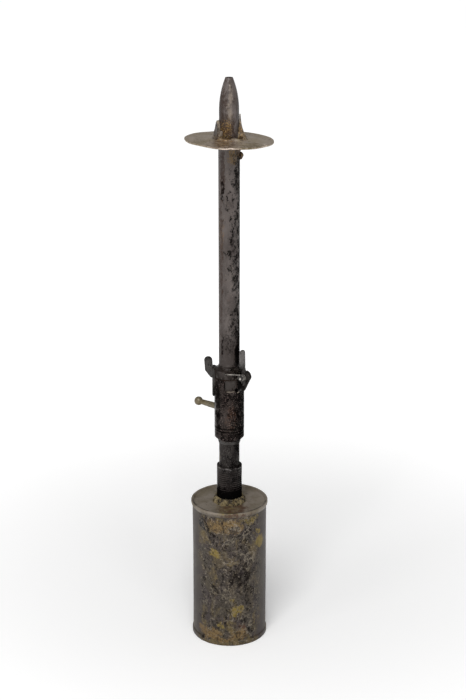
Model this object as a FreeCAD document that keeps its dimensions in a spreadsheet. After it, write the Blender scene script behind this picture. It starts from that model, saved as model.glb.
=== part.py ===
"""Can-fed laboratory burner: a tin fuel can, a piped stem, an air sleeve with a ball lever,
a burner tube held by a keeper and a spring catch, a drip disc and a bullet-shaped tip.

Millimetres. +Z is up and the origin is the bottom centre of the can, on the burner's axis.
Every driving size stands in the sheet below; the pieces are bound to it by expressions.
"""
import FreeCAD, Part
import math
import os
import re
import Sketcher

V = FreeCAD.Vector
doc = FreeCAD.newDocument("burner")
sheet = doc.addObject("Spreadsheet::Sheet", "Sizes")

SIZES = [
    ("can_height", "125", "can from its foot to the top of its rim"),
    ("can_radius", "31.6", "outside of the can wall"),
    ("tin_gauge", "0.6", "tinplate"),
    ("rim_overhang", "1.2", "seam beyond the can wall"),
    ("rim_height", "4.6", "height of both seams"),
    ("foot_overhang", "0.75", "bottom seam beyond the can wall"),
    ("lid_recess", "1.6", "lid panel below the rim"),
    ("foot_recess", "3.0", "bottom panel above the foot"),
    ("side_seam_width", "5.0", "lapped seam up the back of the can"),
    ("side_seam_rise", "0.4", "lapped seam beyond the can wall"),
    ("fit", "0.04", "radial room of a soldered or screwed fit"),
    ("running_gap", "0.08", "radial room of a turning fit"),
    ("free_gap", "0.3", "room between pieces that must not rub"),
    ("pipe_bore", "6.25", "bore radius of stem and burner tube"),
    ("stem_radius", "8.6", "outside of the stem pipe"),
    ("stem_show", "23.4", "stem between socket mouth and sleeve nut"),
    ("stem_entry", "6.5", "stem inside the sleeve"),
    ("socket_radius", "10.65", "outside of the threaded socket"),
    ("socket_rise", "33.4", "socket above the lid panel"),
    ("socket_below", "7.0", "socket below the lid panel"),
    ("mouth_bevel", "1.0", "bevel inside the socket mouth"),
    ("locknut_reach", "15.5", "locknut corner radius"),
    ("locknut_height", "4.0", "locknut"),
    ("solder_width", "3.6", "solder fillet on the lid"),
    ("solder_height", "3.8", "solder fillet up the socket"),
    ("packing_height", "2.6", "packing ring under the sleeve nut"),
    ("packing_wall", "0.8", "packing ring"),
    ("nut_height", "9.8", "sleeve nut"),
    ("nut_radius", "12.35", "sleeve nut"),
    ("nut_bevel", "2.9", "bevel under the sleeve nut"),
    ("nut_land", "2.4", "land above the nut's groove"),
    ("nut_groove", "0.6", "groove round the sleeve nut"),
    ("boss_height", "3.5", "nut boss inside the sleeve"),
    ("sleeve_radius", "12.5", "outside of the air sleeve"),
    ("sleeve_wall", "1.3", "wall of the air sleeve"),
    ("sleeve_height", "45.8", "air sleeve"),
    ("joint_bevel", "0.45", "bevel at the sleeve's joints"),
    ("washer_gauge", "1.0", "fibre washers"),
    ("jet_flange", "2.7", "jet flange height"),
    ("jet_rise", "11.5", "jet nose above its flange"),
    ("jet_orifice", "0.6", "jet orifice radius"),
    ("lever_height", "15.9", "lever axis above the sleeve foot"),
    ("lever_radius", "2.45", "lever rod"),
    ("lever_reach", "34.2", "ball centre from the burner axis"),
    ("ball_radius", "3.75", "lever ball"),
    ("lever_azimuth", "140", "degrees, lever at rest"),
    ("lever_swing", "70", "degrees, shut to open"),
    ("lever_ring", "5.0", "half height of the barrel's lever ring"),
    ("lever_ring_bore", "7.0", "bore radius of the lever ring"),
    ("slot_gap", "0.5", "room round the lever in its slot"),
    ("window_azimuth", "277.5", "degrees, middle of the air window"),
    ("window_sweep", "51", "degrees, width of the air window"),
    ("window_drop", "9.1", "window sill below the sleeve top"),
    ("relief_radius", "1.05", "drilled hole at the window corner"),
    ("relief_azimuth", "299", "degrees"),
    ("gasket_gauge", "0.6", "gasket under the collar"),
    ("collar_height", "6.8", "collar ring"),
    ("collar_radius", "12.5", "collar ring"),
    ("tube_radius", "8.7", "outside of the burner tube"),
    ("tube_rise", "200.1", "burner tube above the sleeve top"),
    ("spigot_gap", "2.1", "burner tube's foot above the lever ring"),
    ("disc_radius", "35.8", "drip disc"),
    ("disc_gauge", "1.2", "drip disc"),
    ("disc_dome", "2.0", "middle of the disc above its rim"),
    ("disc_tilt", "2.0", "degrees, right side down"),
    ("neck_rise", "6.0", "flare round the disc's hole"),
    ("neck_wall", "0.9", "top edge of the flare"),
    ("neck_front", "281", "degrees, middle of the torn gap in the flare"),
    ("neck_gap", "98", "degrees, torn gap in the flare"),
    ("tongue_count", "5", "tongues bent up from the disc's hole"),
    ("tongue_first", "193", "degrees, first tongue"),
    ("tongue_step", "48.5", "degrees between tongues"),
    ("tongue_width", "8.6", "tongue at its root"),
    ("tongue_gauge", "1.2", "tongue"),
    ("pillar_gauge", "3.4", "first tongue, folded thick"),
    ("tongue_lean", "0.5", "tongue points clear of the tip"),
    ("tongue_low", "14.5", "first tongue's height"),
    ("tongue_high", "20.0", "last tongue's height"),
    ("tip_radius", "8.0", "burner tip"),
    ("tip_rise", "49.0", "burner tip above the tube"),
    ("tip_ogive", "26.0", "rounded length of the tip"),
    ("tip_mouth", "3.0", "flat top of the tip"),
    ("tip_orifice", "2.3", "flame port radius"),
    ("shank_depth", "19.0", "tip shank inside the tube"),
    ("screw_drop", "12.9", "tip screw below the tube top"),
    ("screw_azimuth", "350", "degrees"),
    ("screw_radius", "1.5", "tip screw shank"),
    ("screw_head", "2.5", "tip screw head radius"),
    ("screw_dome", "1.9", "tip screw head height"),
    ("keeper_gauge", "1.85", "keeper strip"),
    ("keeper_half", "3.5", "half width of the keeper strip"),
    ("keeper_drop", "16.1", "keeper strip below the sleeve top"),
    ("nose_gap", "0.6", "hooks above the collar's shoulder"),
    ("nose_height", "2.3", "hook thickness"),
    ("nose_lap", "0.9", "hooks over the collar's shoulder"),
    ("thumb_width", "6.8", "keeper's thumb tab"),
    ("thumb_gauge", "2.0", "keeper's thumb tab"),
    ("thumb_rise", "18.6", "thumb tab above the sleeve top"),
    ("thumb_lean", "1.5", "thumb tab's outward lean"),
    ("catch_azimuth", "315", "degrees, middle of the catch"),
    ("pin_reach", "17.3", "catch pin from the burner axis"),
    ("pin_rise", "3.7", "catch pin above the sleeve top"),
    ("pin_radius", "1.3", "catch pin"),
    ("cheek_round", "5.0", "bracket cheek round the pin"),
    ("cheek_gauge", "1.2", "bracket cheek"),
    ("bracket_drop", "9.6", "bracket foot below the sleeve top"),
    ("bracket_foot", "2.4", "bracket foot beyond the sleeve"),
    ("bracket_plate", "1.0", "bracket plate on the sleeve"),
    ("knuckle_round", "3.0", "lever knuckle round the pin"),
    ("knuckle_width", "2.2", "lever knuckle along the pin"),
    ("paddle_width", "6.7", "finger paddle"),
    ("paddle_gauge", "2.0", "finger paddle"),
    ("paddle_rise", "23.2", "paddle top above the pin"),
    ("paddle_inset", "3.1", "paddle's inner face inside the pin"),
    ("tail_drop", "7.5", "lever tail below the pin"),
    ("wire_radius", "0.35", "catch spring wire"),
    ("coil_radius", "2.3", "catch spring coil, at the wire's middle"),
    ("coil_pitch", "1.2", "catch spring, per turn"),
    ("coil_turns", "2.5", "catch spring"),
    ("leg_sweep", "64", "degrees, long spring leg round the collar"),
]

for row, (name, number, words) in enumerate(SIZES, start=1):
    sheet.set(f"A{row}", words)
    sheet.set(f"B{row}", number)
    sheet.setAlias(f"B{row}", name)
doc.recompute()
NAMES = {name for name, number, words in SIZES}

# Heights of the stack, from the foot up.
LID_PANEL = "(can_height - lid_recess)"
SOCKET_TOP = f"({LID_PANEL} + socket_rise)"
NUT_FOOT = f"({SOCKET_TOP} + stem_show)"
SLEEVE_FOOT = f"({NUT_FOOT} + nut_height)"
SLEEVE_BORE = "(sleeve_radius - sleeve_wall)"
SLEEVE_TOP = f"({SLEEVE_FOOT} + sleeve_height)"
TUBE_TOP = f"({SLEEVE_TOP} + tube_rise)"
BARREL_FOOT = "(boss_height + washer_gauge + running_gap)"
SHOULDER = "(sleeve_height + gasket_gauge + collar_height)"
HOOK = f"({SHOULDER} + nose_gap)"
PIN = "(sleeve_height + pin_rise)"
SILL = "(sleeve_height - window_drop)"
SPIGOT = "(sleeve_height - lever_height - lever_ring - spigot_gap)"


def full(words):
    """An expression whose plain size names point into the sheet."""
    return re.sub(r"[a-z_]+", lambda m: f"Sizes.{m[0]}" if m[0] in NAMES else m[0], words)


def value(words):
    """The number that an expression gives now."""
    return float(sheet.evalExpression(full(words)))


def turn_place(azimuth, lift="0"):
    """Expression for a placement turned about Z and lifted."""
    spot = f"vector(0; 0; {full(lift)})"
    return f"placement({spot}; rotation(vector(0; 0; 1); {full(azimuth)}))"


def new_body(label, lift="0", azimuth="0"):
    """An empty body standing at a height, turned about the burner's axis."""
    body = doc.addObject("PartDesign::Body", label)
    body.Label = label
    body.setExpression("Placement", turn_place(azimuth, lift))
    return body


def new_sketch(body, role, azimuth="0", offset="0"):
    """A sketch on one of the body's own planes, turned about its upright or moved along its normal."""
    sketch = body.newObject("Sketcher::SketchObject", f"{body.Name}_sketch")
    plane = [item for item in body.Origin.OriginFeatures if item.Role == role][0]
    sketch.AttachmentSupport = (plane, [""])
    sketch.MapMode = "FlatFace"
    spot = f"vector(0; 0; {full(offset)})"
    turn = f"rotation(vector(0; 1; 0); {full(azimuth)})"
    sketch.setExpression("AttachmentOffset", f"placement({spot}; {turn})")
    return sketch


def pin_down(sketch, geometry, end, across, up):
    """Bind one point of the sketch to two expressions."""
    for kind, words, axis in (("DistanceX", across, -2), ("DistanceY", up, -1)):
        number = value(words)
        if abs(number) < 1e-9:
            sketch.addConstraint(Sketcher.Constraint("PointOnObject", geometry, end, axis))
        elif number > 0:
            rule = sketch.addConstraint(Sketcher.Constraint(kind, -1, 1, geometry, end, number))
            sketch.setExpression(f"Constraints[{rule}]", full(words))
        else:
            rule = sketch.addConstraint(Sketcher.Constraint(kind, geometry, end, -1, 1, -number))
            sketch.setExpression(f"Constraints[{rule}]", f"-({full(words)})")


def arc_between(start, finish, radius, hand):
    """Arc of under half a circle; hand +1 has its centre on the left of the way."""
    chord = finish - start
    rise = math.sqrt(max(radius ** 2 - (chord.Length / 2) ** 2, 0))
    left = V(-chord.y, chord.x, 0).normalize()
    centre = (start + finish) / 2 + left * rise * hand
    first, last = (start, finish) if hand > 0 else (finish, start)
    angles = [math.atan2(p.y - centre.y, p.x - centre.x) for p in (first, last)]
    if angles[1] < angles[0]:
        angles[1] += 2 * math.pi
    return Part.ArcOfCircle(Part.Circle(centre, V(0, 0, 1), radius), *angles)


def outline(sketch, corners):
    """Closed outline: corners (across, up), or (across, up, radius, hand) where an arc leaves."""
    spots = [V(value(corner[0]), value(corner[1]), 0) for corner in corners]
    starts = []
    ends = []
    for index, corner in enumerate(corners):
        start, finish = spots[index], spots[(index + 1) % len(spots)]
        if len(corner) == 2:
            geometry = sketch.addGeometry(Part.LineSegment(start, finish))
            forward = True
        else:
            arc = arc_between(start, finish, value(corner[2]), corner[3])
            geometry = sketch.addGeometry(arc)
            rule = sketch.addConstraint(Sketcher.Constraint("Radius", geometry, value(corner[2])))
            sketch.setExpression(f"Constraints[{rule}]", full(corner[2]))
            forward = corner[3] > 0
        starts.append((geometry, 1 if forward else 2))
        ends.append((geometry, 2 if forward else 1))
    for index, corner in enumerate(corners):
        following = starts[(index + 1) % len(starts)]
        sketch.addConstraint(Sketcher.Constraint("Coincident", *ends[index], *following))
        pin_down(sketch, *starts[index], corner[0], corner[1])


def circle(sketch, across, up, radius):
    """Circle bound by its centre and radius."""
    spot = V(value(across), value(up), 0)
    geometry = sketch.addGeometry(Part.Circle(spot, V(0, 0, 1), value(radius)))
    pin_down(sketch, geometry, 3, across, up)
    rule = sketch.addConstraint(Sketcher.Constraint("Radius", geometry, value(radius)))
    sketch.setExpression(f"Constraints[{rule}]", full(radius))


def revolve(body, kind, corners, azimuth="0", sweep="360"):
    """Outline in the XZ plane turned about the body's Z axis, added or cut."""
    sketch = new_sketch(body, "XZ_Plane", azimuth)
    outline(sketch, corners)
    feature = body.newObject(kind, f"{body.Name}_turn")
    feature.Profile = sketch
    feature.ReferenceAxis = (sketch, ["V_Axis"])
    feature.Midplane = sweep != "360"
    feature.setExpression("Angle", full(sweep))


def turned(label, corners, lift="0"):
    """A lathe-turned piece."""
    body = new_body(label, lift)
    revolve(body, "PartDesign::Revolution", corners)
    return body


def sector_cut(body, inner, outer, foot, top, azimuth, sweep):
    """Cut a stretch of wall round the axis."""
    corners = [(inner, foot), (outer, foot), (outer, top), (inner, top)]
    revolve(body, "PartDesign::Groove", corners, azimuth, sweep)


def core_cut(body, radius, foot, top):
    """Cut a round core about the axis, so that the piece lies on a cylinder."""
    corners = [("0", foot), (radius, foot), (radius, top), ("0", top)]
    revolve(body, "PartDesign::Groove", corners)


def radial_hole(body, up, radius, azimuth):
    """Drill one wall from the axis outward."""
    sketch = new_sketch(body, "XZ_Plane", f"{azimuth} + 90")
    circle(sketch, "0", up, radius)
    hole = body.newObject("PartDesign::Pocket", f"{body.Name}_hole")
    hole.Profile = sketch
    hole.Type = "ThroughAll"
    hole.Reversed = True


def pad(body, role, draw, low, high):
    """Pad an outline between two offsets along the plane's own axis."""
    backward = role == "XZ_Plane"
    sketch = new_sketch(body, role, "0", f"-({high})" if backward else low)
    draw(sketch)
    feature = body.newObject("PartDesign::Pad", f"{body.Name}_pad")
    feature.Profile = sketch
    feature.setExpression("Length", full(f"({high}) - ({low})"))


def box_outline(left, right, low, high):
    """Rectangle to draw in a sketch."""
    return lambda sketch: outline(sketch, [(left, low), (right, low), (right, high), (left, high)])


def aim(body, azimuth, lift):
    """Lay a body's own Z axis along a radius of the burner."""
    turn = FreeCAD.Rotation(V(0, 0, 1), value(azimuth)) * FreeCAD.Rotation(V(0, 1, 0), 90)
    body.setExpression("Placement", None)
    body.Placement = FreeCAD.Placement(V(0, 0, value(lift)), turn)
    body.setExpression("Placement.Base.z", full(lift))


# Fuel can: wall, lid and bottom, with their seams.
SKIRT = "can_radius + fit"
RIM = "can_radius + rim_overhang"
FOOT_RIM = "can_radius + foot_overhang"
BEAD = "can_radius - rim_overhang"
wall_foot = "foot_recess + tin_gauge"
wall_top = f"{LID_PANEL} - tin_gauge"
can_body = turned("can_body", [
    ("can_radius - tin_gauge", wall_foot),
    ("can_radius", wall_foot),
    ("can_radius", wall_top),
    ("can_radius - tin_gauge", wall_top),
])
pad(
    can_body, "XY_Plane",
    box_outline("-side_seam_width / 2", "side_seam_width / 2",
                "can_radius - tin_gauge", "can_radius + side_seam_rise"),
    "rim_height + free_gap", "can_height - rim_height - free_gap",
)
can_top = turned("can_top", [
    ("socket_radius + fit", "rim_height - lid_recess"),
    (BEAD, "rim_height - lid_recess"),
    (BEAD, "rim_height - rim_overhang / 2", "rim_overhang / 2", -1),
    (f"{BEAD} + rim_overhang / 2", "rim_height"),
    (f"{RIM} - rim_overhang", "rim_height", "rim_overhang", -1),
    (RIM, "rim_height - rim_overhang"),
    (RIM, "rim_height / 2"),
    (f"{SKIRT} + tin_gauge / 2", "0"),
    (SKIRT, "0"),
    (SKIRT, "rim_height - lid_recess - tin_gauge"),
    ("socket_radius + fit", "rim_height - lid_recess - tin_gauge"),
], "can_height - rim_height")
can_bottom = turned("can_bottom", [
    ("0", "foot_recess"),
    (BEAD, "foot_recess"),
    (BEAD, "0"),
    (f"{FOOT_RIM} - foot_overhang / 2", "0", "foot_overhang / 2", 1),
    (FOOT_RIM, "foot_overhang / 2"),
    (FOOT_RIM, "rim_height"),
    (SKIRT, "rim_height"),
    (SKIRT, wall_foot),
    ("0", wall_foot),
])

# Threaded socket through the lid, with its locknut inside and its solder outside.
below = "(tin_gauge + socket_below)"
bore = "stem_radius + fit"
socket = turned("filler_socket", [
    ("pipe_bore", "0"),
    ("socket_radius", "0"),
    ("socket_radius", f"{below} + socket_rise - mouth_bevel / 2"),
    ("socket_radius - mouth_bevel / 2", f"{below} + socket_rise"),
    (f"{bore} + mouth_bevel", f"{below} + socket_rise"),
    (bore, f"{below} + socket_rise - mouth_bevel"),
    (bore, below),
    ("pipe_bore", below),
], f"{LID_PANEL} - {below}")
locknut = new_body("socket_locknut", f"{LID_PANEL} - tin_gauge - locknut_height")
hexagon = []
for corner in range(6):
    hexagon.append((f"locknut_reach * cos({60 * corner})", f"locknut_reach * sin({60 * corner})"))
pad(locknut, "XY_Plane", lambda sketch: outline(sketch, hexagon), "0", "locknut_height")
core_cut(locknut, "socket_radius + fit", "-1", "locknut_height + 1")
solder = turned("socket_solder", [
    ("socket_radius + fit", "0"),
    ("socket_radius + fit + solder_width", "0"),
    ("socket_radius + fit + solder_width", "solder_height / 5", "solder_height", -1),
    ("socket_radius + 2 * fit + solder_width / 8", "solder_height"),
    ("socket_radius + fit", "solder_height"),
], LID_PANEL)

# Stem, packing ring and the nut that closes the sleeve from below.
stem = turned("stem_pipe", [
    ("pipe_bore", "0"),
    ("stem_radius", "0"),
    ("stem_radius", f"{SLEEVE_FOOT} + stem_entry - {LID_PANEL}"),
    ("pipe_bore", f"{SLEEVE_FOOT} + stem_entry - {LID_PANEL}"),
], LID_PANEL)
packing = turned("stem_packing_ring", [
    (bore, "0"),
    ("stem_radius + packing_wall * 0.7", "0"),
    ("stem_radius + packing_wall", "packing_height / 3"),
    ("stem_radius + packing_wall", "packing_height"),
    (bore, "packing_height"),
], f"{NUT_FOOT} - packing_height")
nut = turned("sleeve_nut", [
    (bore, "0"),
    ("nut_radius - nut_bevel", "0"),
    ("nut_radius", "nut_bevel"),
    ("nut_radius", "nut_height - nut_land - nut_groove"),
    ("nut_radius - nut_groove", "nut_height - nut_land - nut_groove / 2"),
    ("nut_radius", "nut_height - nut_land"),
    ("nut_radius", "nut_height - joint_bevel"),
    ("nut_radius - joint_bevel", "nut_height"),
    (f"{SLEEVE_BORE} - fit", "nut_height"),
    (f"{SLEEVE_BORE} - fit", "nut_height + boss_height"),
    (bore, "nut_height + boss_height"),
], NUT_FOOT)

# Air sleeve with its window, drilled corner hole and lever slot.
sleeve = turned("air_sleeve", [
    (SLEEVE_BORE, "0"),
    ("sleeve_radius - joint_bevel", "0"),
    ("sleeve_radius", "joint_bevel"),
    ("sleeve_radius", "sleeve_height - joint_bevel"),
    ("sleeve_radius - joint_bevel", "sleeve_height"),
    (SLEEVE_BORE, "sleeve_height"),
], SLEEVE_FOOT)
slot_half = "(lever_radius + slot_gap)"
slot_ends = f"(1.03 * 180 / pi * {slot_half} / {SLEEVE_BORE})"
sector_cut(sleeve, f"{SLEEVE_BORE} - 1", "sleeve_radius + 1", SILL, "sleeve_height + 1",
           "window_azimuth", "window_sweep")
sector_cut(sleeve, f"{SLEEVE_BORE} - 1", "sleeve_radius + 1",
           f"lever_height - {slot_half}", f"lever_height + {slot_half}",
           "lever_azimuth - lever_swing / 2", f"lever_swing + 2 * {slot_ends}")
radial_hole(sleeve, SILL, "relief_radius", "relief_azimuth")

# Regulator: a barrel that turns inside the sleeve, on a washer, by its ball lever.
washer = turned("regulator_washer", [
    (f"{bore} + free_gap", "boss_height"),
    (f"{SLEEVE_BORE} - running_gap", "boss_height"),
    (f"{SLEEVE_BORE} - running_gap", "boss_height + washer_gauge"),
    (f"{bore} + free_gap", "boss_height + washer_gauge"),
], SLEEVE_FOOT)
barrel_top = "(sleeve_height - free_gap)"
barrel_bore = "tube_radius + free_gap"
barrel_wall = f"{SLEEVE_BORE} - running_gap"
barrel = turned("regulator_barrel", [
    (barrel_bore, BARREL_FOOT),
    (barrel_wall, BARREL_FOOT),
    (barrel_wall, barrel_top),
    (barrel_bore, barrel_top),
    (barrel_bore, "lever_height + lever_ring"),
    ("lever_ring_bore", "lever_height + lever_ring"),
    ("lever_ring_bore", "lever_height - lever_ring"),
    (barrel_bore, "lever_height - lever_ring"),
], SLEEVE_FOOT)
sector_cut(barrel, "tube_radius", f"{SLEEVE_BORE} + 1", SILL, f"{barrel_top} - washer_gauge",
           "window_azimuth + lever_swing", "window_sweep")
radial_hole(barrel, "lever_height", "lever_radius + fit", "lever_azimuth")
radial_hole(barrel, SILL, "relief_radius", "relief_azimuth")
rod_end = "(lever_reach - sqrt(ball_radius ^ 2 - lever_radius ^ 2))"
lever = turned("regulator_lever", [
    ("0", "lever_ring_bore + free_gap"),
    ("lever_radius", "lever_ring_bore + free_gap"),
    ("lever_radius", rod_end, "ball_radius", 1),
    ("ball_radius", "lever_reach", "ball_radius", 1),
    ("0", "lever_reach + ball_radius"),
])
aim(lever, "lever_azimuth", f"{SLEEVE_FOOT} + lever_height")

# Gas jet screwed into the top of the stem.
jet_washer = turned("jet_washer", [
    ("pipe_bore", "stem_entry"),
    ("stem_radius - free_gap", "stem_entry"),
    ("stem_radius - free_gap", "stem_entry + washer_gauge"),
    ("pipe_bore", "stem_entry + washer_gauge"),
], SLEEVE_FOOT)
jet_seat = "(stem_entry + washer_gauge)"
jet = turned("gas_jet", [
    ("pipe_bore * 0.4", f"{jet_seat} - 7"),
    ("pipe_bore - fit", f"{jet_seat} - 7"),
    ("pipe_bore - fit", jet_seat),
    ("stem_radius - 2 * free_gap", jet_seat),
    ("stem_radius - 2 * free_gap", f"{jet_seat} + jet_flange"),
    ("pipe_bore * 0.74", f"{jet_seat} + jet_flange"),
    ("pipe_bore * 0.4", f"{jet_seat} + jet_flange + jet_rise"),
    ("jet_orifice", f"{jet_seat} + jet_flange + jet_rise"),
    ("jet_orifice", f"{jet_seat} + jet_flange + jet_rise - 2"),
    ("pipe_bore * 0.2", f"{jet_seat} + jet_flange + jet_rise - 4"),
    ("pipe_bore * 0.4", f"{jet_seat} + jet_flange"),
], SLEEVE_FOOT)

# Burner tube with its foot collar and gasket.
gasket = turned("collar_gasket", [
    (f"{SLEEVE_BORE} + fit", "0"),
    ("sleeve_radius - joint_bevel", "0"),
    ("sleeve_radius - joint_bevel", "gasket_gauge"),
    (f"{SLEEVE_BORE} + fit", "gasket_gauge"),
], SLEEVE_TOP)
flare = "(collar_radius - tube_radius - free_gap)"
collar = turned("tube_collar", [
    ("tube_radius + fit", "0"),
    ("collar_radius - joint_bevel", "0"),
    ("collar_radius", "joint_bevel"),
    ("collar_radius", "collar_height", flare, -1),
    ("tube_radius + free_gap", f"collar_height + {flare}"),
    ("tube_radius + fit", f"collar_height + {flare}"),
], f"{SLEEVE_TOP} + gasket_gauge")
leg_azimuth = "(catch_azimuth - leg_sweep)"
radial_hole(collar, "collar_height - 1.4", "wire_radius + 0.25", leg_azimuth)
tube = turned("burner_tube", [
    ("pipe_bore", "0"),
    ("tube_radius", "0"),
    ("tube_radius", f"{SPIGOT} + tube_rise"),
    ("pipe_bore", f"{SPIGOT} + tube_rise"),
], f"{SLEEVE_TOP} - {SPIGOT}")
window_rise = f"({SPIGOT} - window_drop)"
sector_cut(tube, "pipe_bore - 1", "tube_radius + 1", window_rise, f"{SPIGOT} - washer_gauge",
           "window_azimuth", "window_sweep")
radial_hole(tube, f"{SPIGOT} + tube_rise - screw_drop", "screw_radius + fit", "screw_azimuth")

# Bullet-shaped tip on the tube, its shank held by one screw.
narrowing = "(tip_radius - tip_mouth)"
ogive = f"((tip_ogive ^ 2 + {narrowing} ^ 2) / (2 * {narrowing}))"
tip = turned("burner_tip", [
    ("tip_orifice", "0"),
    ("pipe_bore - fit", "0"),
    ("pipe_bore - fit", "shank_depth"),
    ("tip_radius", "shank_depth"),
    ("tip_radius", "shank_depth + tip_rise - tip_ogive", ogive, 1),
    ("tip_mouth", "shank_depth + tip_rise"),
    ("tip_orifice", "shank_depth + tip_rise"),
], f"{TUBE_TOP} - shank_depth")
radial_hole(tip, "shank_depth - screw_drop", "screw_radius + fit", "screw_azimuth")
head_seat = "(tube_radius + fit)"
screw = turned("tip_screw", [
    ("0", "pipe_bore - screw_radius * 1.5"),
    ("screw_radius", "pipe_bore - screw_radius * 1.5"),
    ("screw_radius", head_seat),
    ("screw_head", head_seat),
    ("screw_head", f"{head_seat} + screw_dome / 4"),
    ("screw_head * 0.7", f"{head_seat} + screw_dome * 0.85"),
    ("0", f"{head_seat} + screw_dome"),
])
aim(screw, "screw_azimuth", f"{TUBE_TOP} - screw_drop")

# Drip disc, slightly domed, with a flare and tongues bent up round the tip from its torn hole.
disc_hole = "tip_radius + free_gap + fit"
flare_foot = f"({disc_hole} + neck_wall + neck_rise)"
flare_low = f"(disc_gauge + disc_dome * (disc_radius - {flare_foot}) / (disc_radius - {disc_hole}))"
plate = turned("drip_plate", [
    (disc_hole, "disc_dome"),
    ("disc_radius", "0"),
    ("disc_radius", "disc_gauge"),
    (flare_foot, flare_low, "neck_rise", -1),
    (f"{disc_hole} + neck_wall", f"{flare_low} + neck_rise"),
    (disc_hole, f"{flare_low} + neck_rise"),
])
sector_cut(plate, "tip_radius", f"{flare_foot} + 1", "disc_dome + disc_gauge", f"{flare_low} + neck_rise + 1",
           "neck_front", "neck_gap")
tongues = []
for index in range(int(value("tongue_count"))):
    tongue = doc.addObject("Part::Wedge", f"tongue_{index}")
    height = f"tongue_low + (tongue_high - tongue_low) * {index} / (tongue_count - 1)"
    tongue.setExpression("Xmin", full(disc_hole))
    gauge = "tongue_gauge" if index else "pillar_gauge"
    tongue.setExpression("Xmax", full(f"{disc_hole} + {gauge}"))
    tongue.setExpression("X2min", full(f"{disc_hole} + tongue_lean"))
    tongue.setExpression("X2max", full(f"{disc_hole} + tongue_lean + 0.7 * {gauge}"))
    tongue.setExpression("Ymin", full("disc_dome"))
    tongue.setExpression("Ymax", full(f"disc_dome + disc_gauge + {height}"))
    tongue.setExpression("Zmin", full("-tongue_width / 2"))
    tongue.setExpression("Zmax", full("tongue_width / 2"))
    tongue.setExpression("Z2min", full("-tongue_width / 8"))
    tongue.setExpression("Z2max", full("tongue_width / 8"))
    azimuth = value("tongue_first") - index * value("tongue_step")
    upright = FreeCAD.Rotation(V(0, 0, 1), azimuth) * FreeCAD.Rotation(V(1, 0, 0), 90)
    tongue.Placement = FreeCAD.Placement(V(0, 0, 0), upright)
    tongues.append(tongue)
disc = doc.addObject("Part::MultiFuse", "drip_disc")
disc.Label = "drip_disc"
disc.Shapes = [plate, *tongues]
lean = FreeCAD.Rotation(V(0, 1, 0), value("disc_tilt"))
disc.Placement = FreeCAD.Placement(V(0, 0, 0), lean)
disc.setExpression("Placement.Base.z", full(f"{TUBE_TOP} + free_gap + fit - disc_dome"))

# Keeper on the left: a strip brazed to the sleeve that hooks over the collar, with a thumb tab.
keeper = new_body("keeper_strip", SLEEVE_FOOT, "180")
strip_out = "sleeve_radius + keeper_gauge"
hook_in = "collar_radius - nose_lap"
pad(keeper, "XY_Plane", box_outline(hook_in, strip_out, "-keeper_half", "keeper_half"),
    "sleeve_height - keeper_drop", f"{HOOK} + nose_height")
core_cut(keeper, "sleeve_radius + fit", "sleeve_height - keeper_drop - 1", HOOK)
tab_in = "(sleeve_radius + free_gap)"
tab_top = "(sleeve_height + thumb_rise - thumb_width / 2)"
tab_foot = "(sleeve_height + thumb_width / 2)"
pad(keeper, "XZ_Plane", lambda sketch: outline(sketch, [
    (tab_in, tab_foot, "thumb_width * 0.52", 1),
    (f"{tab_in} + thumb_width", tab_foot),
    (f"{tab_in} + thumb_width + thumb_lean", tab_top, "thumb_width * 0.52", 1),
    (f"{tab_in} + thumb_lean", tab_top),
]), "keeper_half - thumb_gauge", "keeper_half")

# Catch on the right: bracket, pin, sprung lever and its wire spring.
cheek_near = "(knuckle_width + running_gap + free_gap)"
cheek_far = f"({cheek_near} + cheek_gauge)"
bracket = new_body("catch_bracket", SLEEVE_FOOT, "catch_azimuth")
bracket_low = "(sleeve_height - bracket_drop)"
bracket_top = "(sleeve_height - joint_bevel)"
pad(bracket, "XZ_Plane", lambda sketch: outline(sketch, [
    ("sleeve_radius - bracket_foot", bracket_low),
    ("sleeve_radius + bracket_foot", bracket_low),
    ("pin_reach + cheek_round", PIN, "cheek_round", 1),
    ("pin_reach", f"{PIN} + cheek_round"),
    ("collar_radius + 2 * free_gap", f"{PIN} + cheek_round / 2"),
    ("collar_radius + 2 * free_gap", bracket_top),
    ("sleeve_radius - bracket_foot", bracket_top),
]), cheek_near, cheek_far)
pad(bracket, "XY_Plane",
    box_outline("sleeve_radius - bracket_foot", "sleeve_radius + bracket_plate", "-knuckle_width", cheek_far),
    bracket_low, bracket_top)
core_cut(bracket, "sleeve_radius + fit", f"{bracket_low} - 1", f"{bracket_top} + 1")
hole_sketch = new_sketch(bracket, "XZ_Plane")
circle(hole_sketch, "pin_reach", PIN, "pin_radius + fit")
pin_hole = bracket.newObject("PartDesign::Pocket", "bracket_pin_hole")
pin_hole.Profile = hole_sketch
pin_hole.Type = "ThroughAll"

catch = new_body("catch_lever", SLEEVE_FOOT, "catch_azimuth")
knuckle = ("running_gap", "running_gap + knuckle_width")
paddle_in = "(pin_reach - paddle_inset)"
paddle_out = f"({paddle_in} + paddle_gauge)"
paddle_foot = f"({HOOK} + nose_height)"
pad(catch, "XZ_Plane", lambda sketch: circle(sketch, "pin_reach", PIN, "knuckle_round"), *knuckle)
pad(catch, "XZ_Plane", box_outline(paddle_in, f"{paddle_out} + 0.6", PIN, f"{paddle_foot} + 2"), *knuckle)
pad(catch, "XZ_Plane", box_outline(hook_in, paddle_out, HOOK, f"{HOOK} + nose_height"), *knuckle)
pad(catch, "XZ_Plane",
    box_outline("pin_reach - 1.8", "pin_reach - 0.2", f"{PIN} - tail_drop", PIN), *knuckle)
paddle_top = f"({PIN} + paddle_rise - paddle_width / 2)"
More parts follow.
